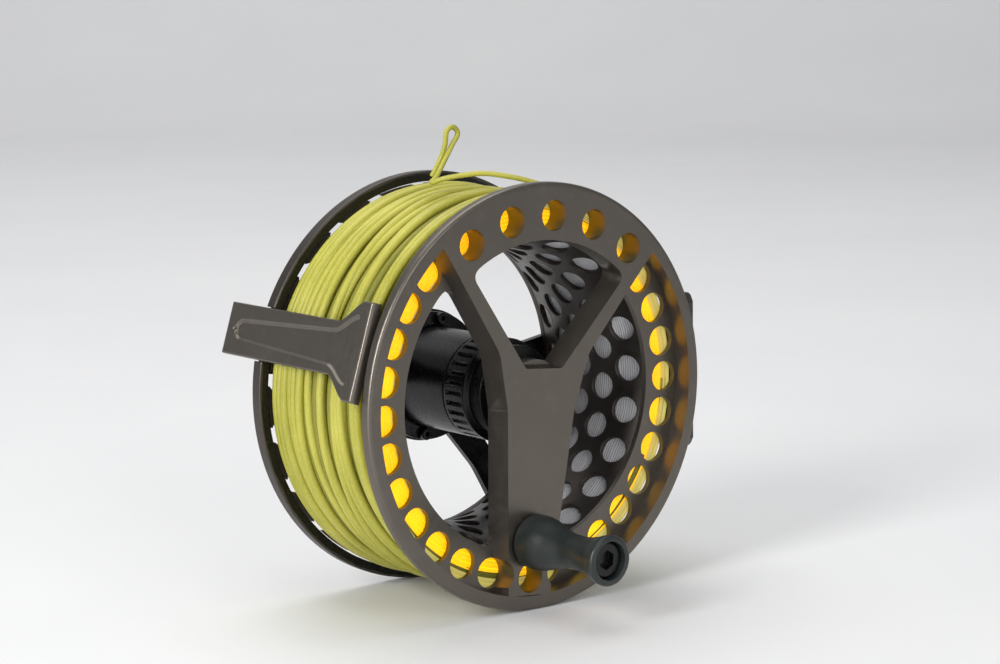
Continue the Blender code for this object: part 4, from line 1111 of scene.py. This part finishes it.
def make_foot(looks):
    foot = plate_surface("reel_foot", FOOT_ANGLE, foot_half_width, foot_height, FOOT_FACE - FOOT_THICK,
                         FOOT_FRONT_Y, FOOT_REAR_Y)
    shade(foot, 50)
    place(foot, "frame", "gunmetal", looks["gunmetal"], "foot")
    tab = make_tab("reel_foot_tab", FOOT_ANGLE, FOOT_HALF_WIDTH, FOOT_FACE - FOOT_THICK / 2, FOOT_SCREW_SPREAD)
    place(tab, "frame", "gunmetal", looks["gunmetal"])


def guard_half_width(ys):
    bar_rear = FOOT_FRONT_Y + 4 * MM
    flare = ramp(ys, bar_rear, bar_rear + 9 * MM)
    corner = 2 * MM * ramp(FOOT_FRONT_Y + 1.5 * MM - ys, 0, 1.5 * MM)
    return GUARD_HALF_LENGTH + (GUARD_HALF_WIDTH - GUARD_HALF_LENGTH) * flare - corner


def make_rim_guard(looks):
    guard = plate_surface("rim_guard_bar", GUARD_ANGLE, guard_half_width, lambda us, ys: GUARD_FACE + 0 * us,
                          GUARD_FACE - GUARD_THICK, FOOT_FRONT_Y, TAB_REAR_Y + 0.3 * MM, 0.3 * MM)
    shade(guard, 50)
    place(guard, "frame", "dark_gunmetal", looks["dark_gunmetal"], "rim_guard")
    tab = make_tab("rim_guard_tab", GUARD_ANGLE, GUARD_HALF_WIDTH, GUARD_FACE - GUARD_THICK / 2, GUARD_SCREW_SPREAD)
    place(tab, "frame", "dark_gunmetal", looks["dark_gunmetal"])


def make_screw(name, node, centre, head_front, head_rear, head_r, slot, looks):
    """A cap screw's head with a domed edge and a hex socket; its shank is out of sight."""
    outside = head_rear
    step = 0.25 * MM if head_rear > head_front else -0.25 * MM
    screw = turned(name, [(0, head_front), (head_r, head_front)] + [
        (head_r - abs(step) * (1 - math.cos(a)), outside - step * (1 - math.sin(a)))
        for a in (0, math.pi / 6, math.pi / 3, math.pi / 2)] + [(0, outside)], 64)
    socket = 0.6 * (head_front - head_rear)
    low, high = sorted((head_rear - 0.5 * socket, head_rear + socket))
    boolean(screw, prism("hex", circle(0.5 * head_r, 6), along_spindle, low, high), "DIFFERENCE", "EXACT")
    shade(screw, 30)
    move(screw, *centre)
    place(screw, "frame", slot, looks[slot], node)


def make_screws(looks):
    for plate, angle, spread in (("foot", FOOT_ANGLE, FOOT_SCREW_SPREAD), ("rim_guard", GUARD_ANGLE, GUARD_SCREW_SPREAD)):
        for number, side in ((1, -1), (2, 1)):
            make_screw(f"{plate}_cap_screw_{number}", f"{plate}_screw_{number}", tab_screw_centre(angle, side * spread),
                       TAB_REAR_Y - 1.1 * MM, TAB_REAR_Y - 0.1 * MM, SCREW_HEAD_R, "steel", looks)
    front = HOUSING_REAR_Y - 2.2 * MM
    for number, angle in enumerate(HOUSING_SCREW_ANGLES, 1):
        centre = (HOUSING_SCREW_RING_R * math.sin(angle), HOUSING_SCREW_RING_R * math.cos(angle))
        make_screw(f"housing_cap_screw_{number}", f"housing_screw_{number}", centre, front - 0.1 * MM, front - 1.5 * MM,
                   HOUSING_SCREW_HEAD_R, "black_anodised", looks)


# ---------------------------------------------------------------- drag

def make_housing(looks):
    front = HOUSING_REAR_Y - 2.2 * MM
    housing = turned("drag_tube", rounded([
        (SPINDLE_R + 0.05 * MM, HOUSING_REAR_Y, 0), (HUB_R - 0.5 * MM, HOUSING_REAR_Y, 0.2 * MM),
        (HUB_R - 0.5 * MM, front, 0.4 * MM), (HOUSING_R, front, 0.5 * MM),
        (HOUSING_R, HOUSING_FRONT_Y, 0.4 * MM), (HOUSING_BORE_R, HOUSING_FRONT_Y, 0.2 * MM),
        (HOUSING_BORE_R, front, 0), (SPINDLE_R + 0.05 * MM, front, 0),
    ]), 160)
    shade(housing)
    place(housing, "frame", "black_anodised", looks["black_anodised"], "drag_housing")


def make_knob(looks):
    """The drag knob: a smooth nose and a skirt with a ring of teeth."""
    skirt_end = HOUSING_FRONT_Y - GAP
    teeth = (skirt_end - 6.6 * MM, skirt_end - 0.7 * MM)
    bore = 4.8 * MM
    profile = rounded([
        (bore, KNOB_FRONT_Y, 0.2 * MM), (KNOB_R - 1.3 * MM, KNOB_FRONT_Y, 0.4 * MM),
        (KNOB_R - 1.3 * MM, skirt_end - 7.8 * MM, 0.3 * MM), (KNOB_R, skirt_end - 7.4 * MM, 0.2 * MM),
        (KNOB_R, teeth[0], 0), (KNOB_R, teeth[0] + 0.5 * MM, 0), (KNOB_R, teeth[1] - 0.5 * MM, 0), (KNOB_R, teeth[1], 0),
        (KNOB_R, skirt_end, 0.25 * MM), (HOUSING_BORE_R - GAP, skirt_end, 0), (HOUSING_BORE_R - GAP, skirt_end + 1.6 * MM, 0),
        (bore, skirt_end + 1.6 * MM, 0),
    ], 4)
    steps = KNOB_TEETH * 12
    points = []
    for radius, y in profile:
        toothed = teeth[0] + 0.2 * MM < y < teeth[1] - 0.2 * MM and radius > KNOB_R - 0.1 * MM
        for i in range(steps):
            phase = abs((i / 12) % 1 - 0.5) * 2
            groove = max(0.0, 1 - (1 - phase) / 0.45) if toothed else 0.0
            points.append(polar(radius - 0.75 * MM * min(1.0, 1.3 * groove), math.tau * i / steps, y))
    knob = from_points("drag_adjusting_knob", points, grid_faces(len(profile), steps, True, True))
    shade(knob, 32)
    place(knob, "knob", "black_anodised", looks["black_anodised"], "drag_knob")


def make_spindle(looks):
    rear = REEL_DEPTH + 3.2 * MM
    front = BEARING_SEAT_Y + 0.5 * MM
    spindle = turned("spindle_shaft", rounded([
        (0, front, 0), (SPINDLE_R, front, 0.4 * MM), (SPINDLE_R, rear, 0.5 * MM), (0, rear, 0)]), 64)
    shade(spindle)
    place(spindle, "frame", "steel", looks["steel"], "spindle")
    nut = prism("spindle_hex_nut", circle(5.2 * MM, 6), along_spindle, REEL_DEPTH + 0.1 * MM, REEL_DEPTH + 2.7 * MM)
    cone = turned("cone", [(0, REEL_DEPTH - MM), (7 * MM, REEL_DEPTH - MM), (5.6 * MM, REEL_DEPTH + 2.0 * MM),
                           (4.6 * MM, REEL_DEPTH + 2.9 * MM), (0, REEL_DEPTH + 2.9 * MM)], 96)
    boolean(nut, cone, "INTERSECT", "EXACT")
    bore = circle(SPINDLE_R + 0.05 * MM, 64)
    boolean(nut, prism("bore", bore, along_spindle, REEL_DEPTH - MM, REEL_DEPTH + 5 * MM), "DIFFERENCE", "EXACT")
    soften(nut, 0.12 * MM, 2, 25)
    place(nut, "frame", "steel", looks["steel"], "spindle_nut")


def dress_inner_solids(looks):
    """The pieces sealed inside the drag and the hub keep their solids and take a machined finish."""
    for slot, names in {
        "steel": ("pressure_plate", "drag_spring", "one_way_clutch", "drive_sleeve", "spool_bearing"),
        "bronze": ("drag_cone",),
        "friction_liner": ("friction_liner",),
        "rubber": ("housing_seal",),
    }.items():
        for name in names:
            node = frame["nodes"][name]
            node.data.materials.clear()
            node.data.materials.append(looks[slot])
            edges = node.modifiers.new("edges", "BEVEL")
            edges.width = 0.12 * MM
            edges.segments = 2


# ---------------------------------------------------------------- stage

def make_stage(looks):
    """A sheet of pale paper that sweeps up behind the reel."""
    floor_z = face_low.z - 0.05 * MM
    bend_at, bend_r, height, half = 1.6, 0.8, 3.0, 4.0
    across = Vector((math.cos(math.radians(-39)), math.sin(math.radians(-39)), 0))
    away = Vector((-across.y, across.x, 0))
    profile = [(-2.5, 0.0), (bend_at, 0.0)] + [
        (bend_at + bend_r * math.sin(a), bend_r * (1 - math.cos(a)))
        for a in [math.pi / 2 * i / 24 for i in range(1, 25)]] + [(bend_at + bend_r, height)]
    points = [Vector((ORIGIN.x, ORIGIN.y, floor_z)) + away * d + across * side + Vector((0, 0, z))
              for d, z in profile for side in (-half, half)]
    sheet = from_points("paper_sweep", points, grid_faces(len(profile), 2))
    sheet.data.shade_smooth()
    sheet.data.materials.append(looks["paper"])


def add_light(name, where, size, power, target=(0.0, 0.0, 0.0), size_y=None):
    """A soft box aimed at the reel; place and target are in reel coordinates."""
    data = bpy.data.lights.new(name, "AREA")
    data.shape = "RECTANGLE"
    data.size = size
    data.size_y = size_y or size
    data.energy = power
    light = bpy.data.objects.new(name, data)
    bpy.context.scene.collection.objects.link(light)
    light.location = ORIGIN + Vector(where)
    aim = ORIGIN + Vector(target) - light.location
    light.rotation_euler = aim.to_track_quat("-Z", "Y").to_euler()


def make_lights():
    add_light("overhead", (0.0, 0.2, 0.9), 0.8, 3.6)
    add_light("left_key", (-0.95, -0.22, 0.38), 0.30, 9.5, size_y=0.6)
    add_light("front_fill", (-0.1, -1.2, 0.5), 0.8, 4.5)
    add_light("backdrop_wash", (0.4, 1.0, 1.5), 1.6, 11.0, target=(1.0, 1.6, 0.5))
    world = bpy.data.worlds.new("studio")
    world.use_nodes = True
    background = world.node_tree.nodes["Background"]
    background.inputs["Color"].default_value = (0.85, 0.86, 0.88, 1)
    background.inputs["Strength"].default_value = 0.42
    bpy.context.scene.world = world
    bpy.context.scene.view_settings.view_transform = "Standard"


def main():
    looks = all_looks()
    make_camera()
    make_line_end(looks)
    make_spool_face(looks)
    make_spool_arbor(looks)
    make_spool_back_flange(looks)
    make_backing(looks)
    make_running_line(looks)
    make_taper(looks)
    make_fly_line(looks)
    make_handle(looks)
    make_frame(looks)
    make_foot(looks)
    make_rim_guard(looks)
    make_screws(looks)
    make_housing(looks)
    make_knob(looks)
    make_spindle(looks)
    dress_inner_solids(looks)
    make_stage(looks)
    make_lights()


main()
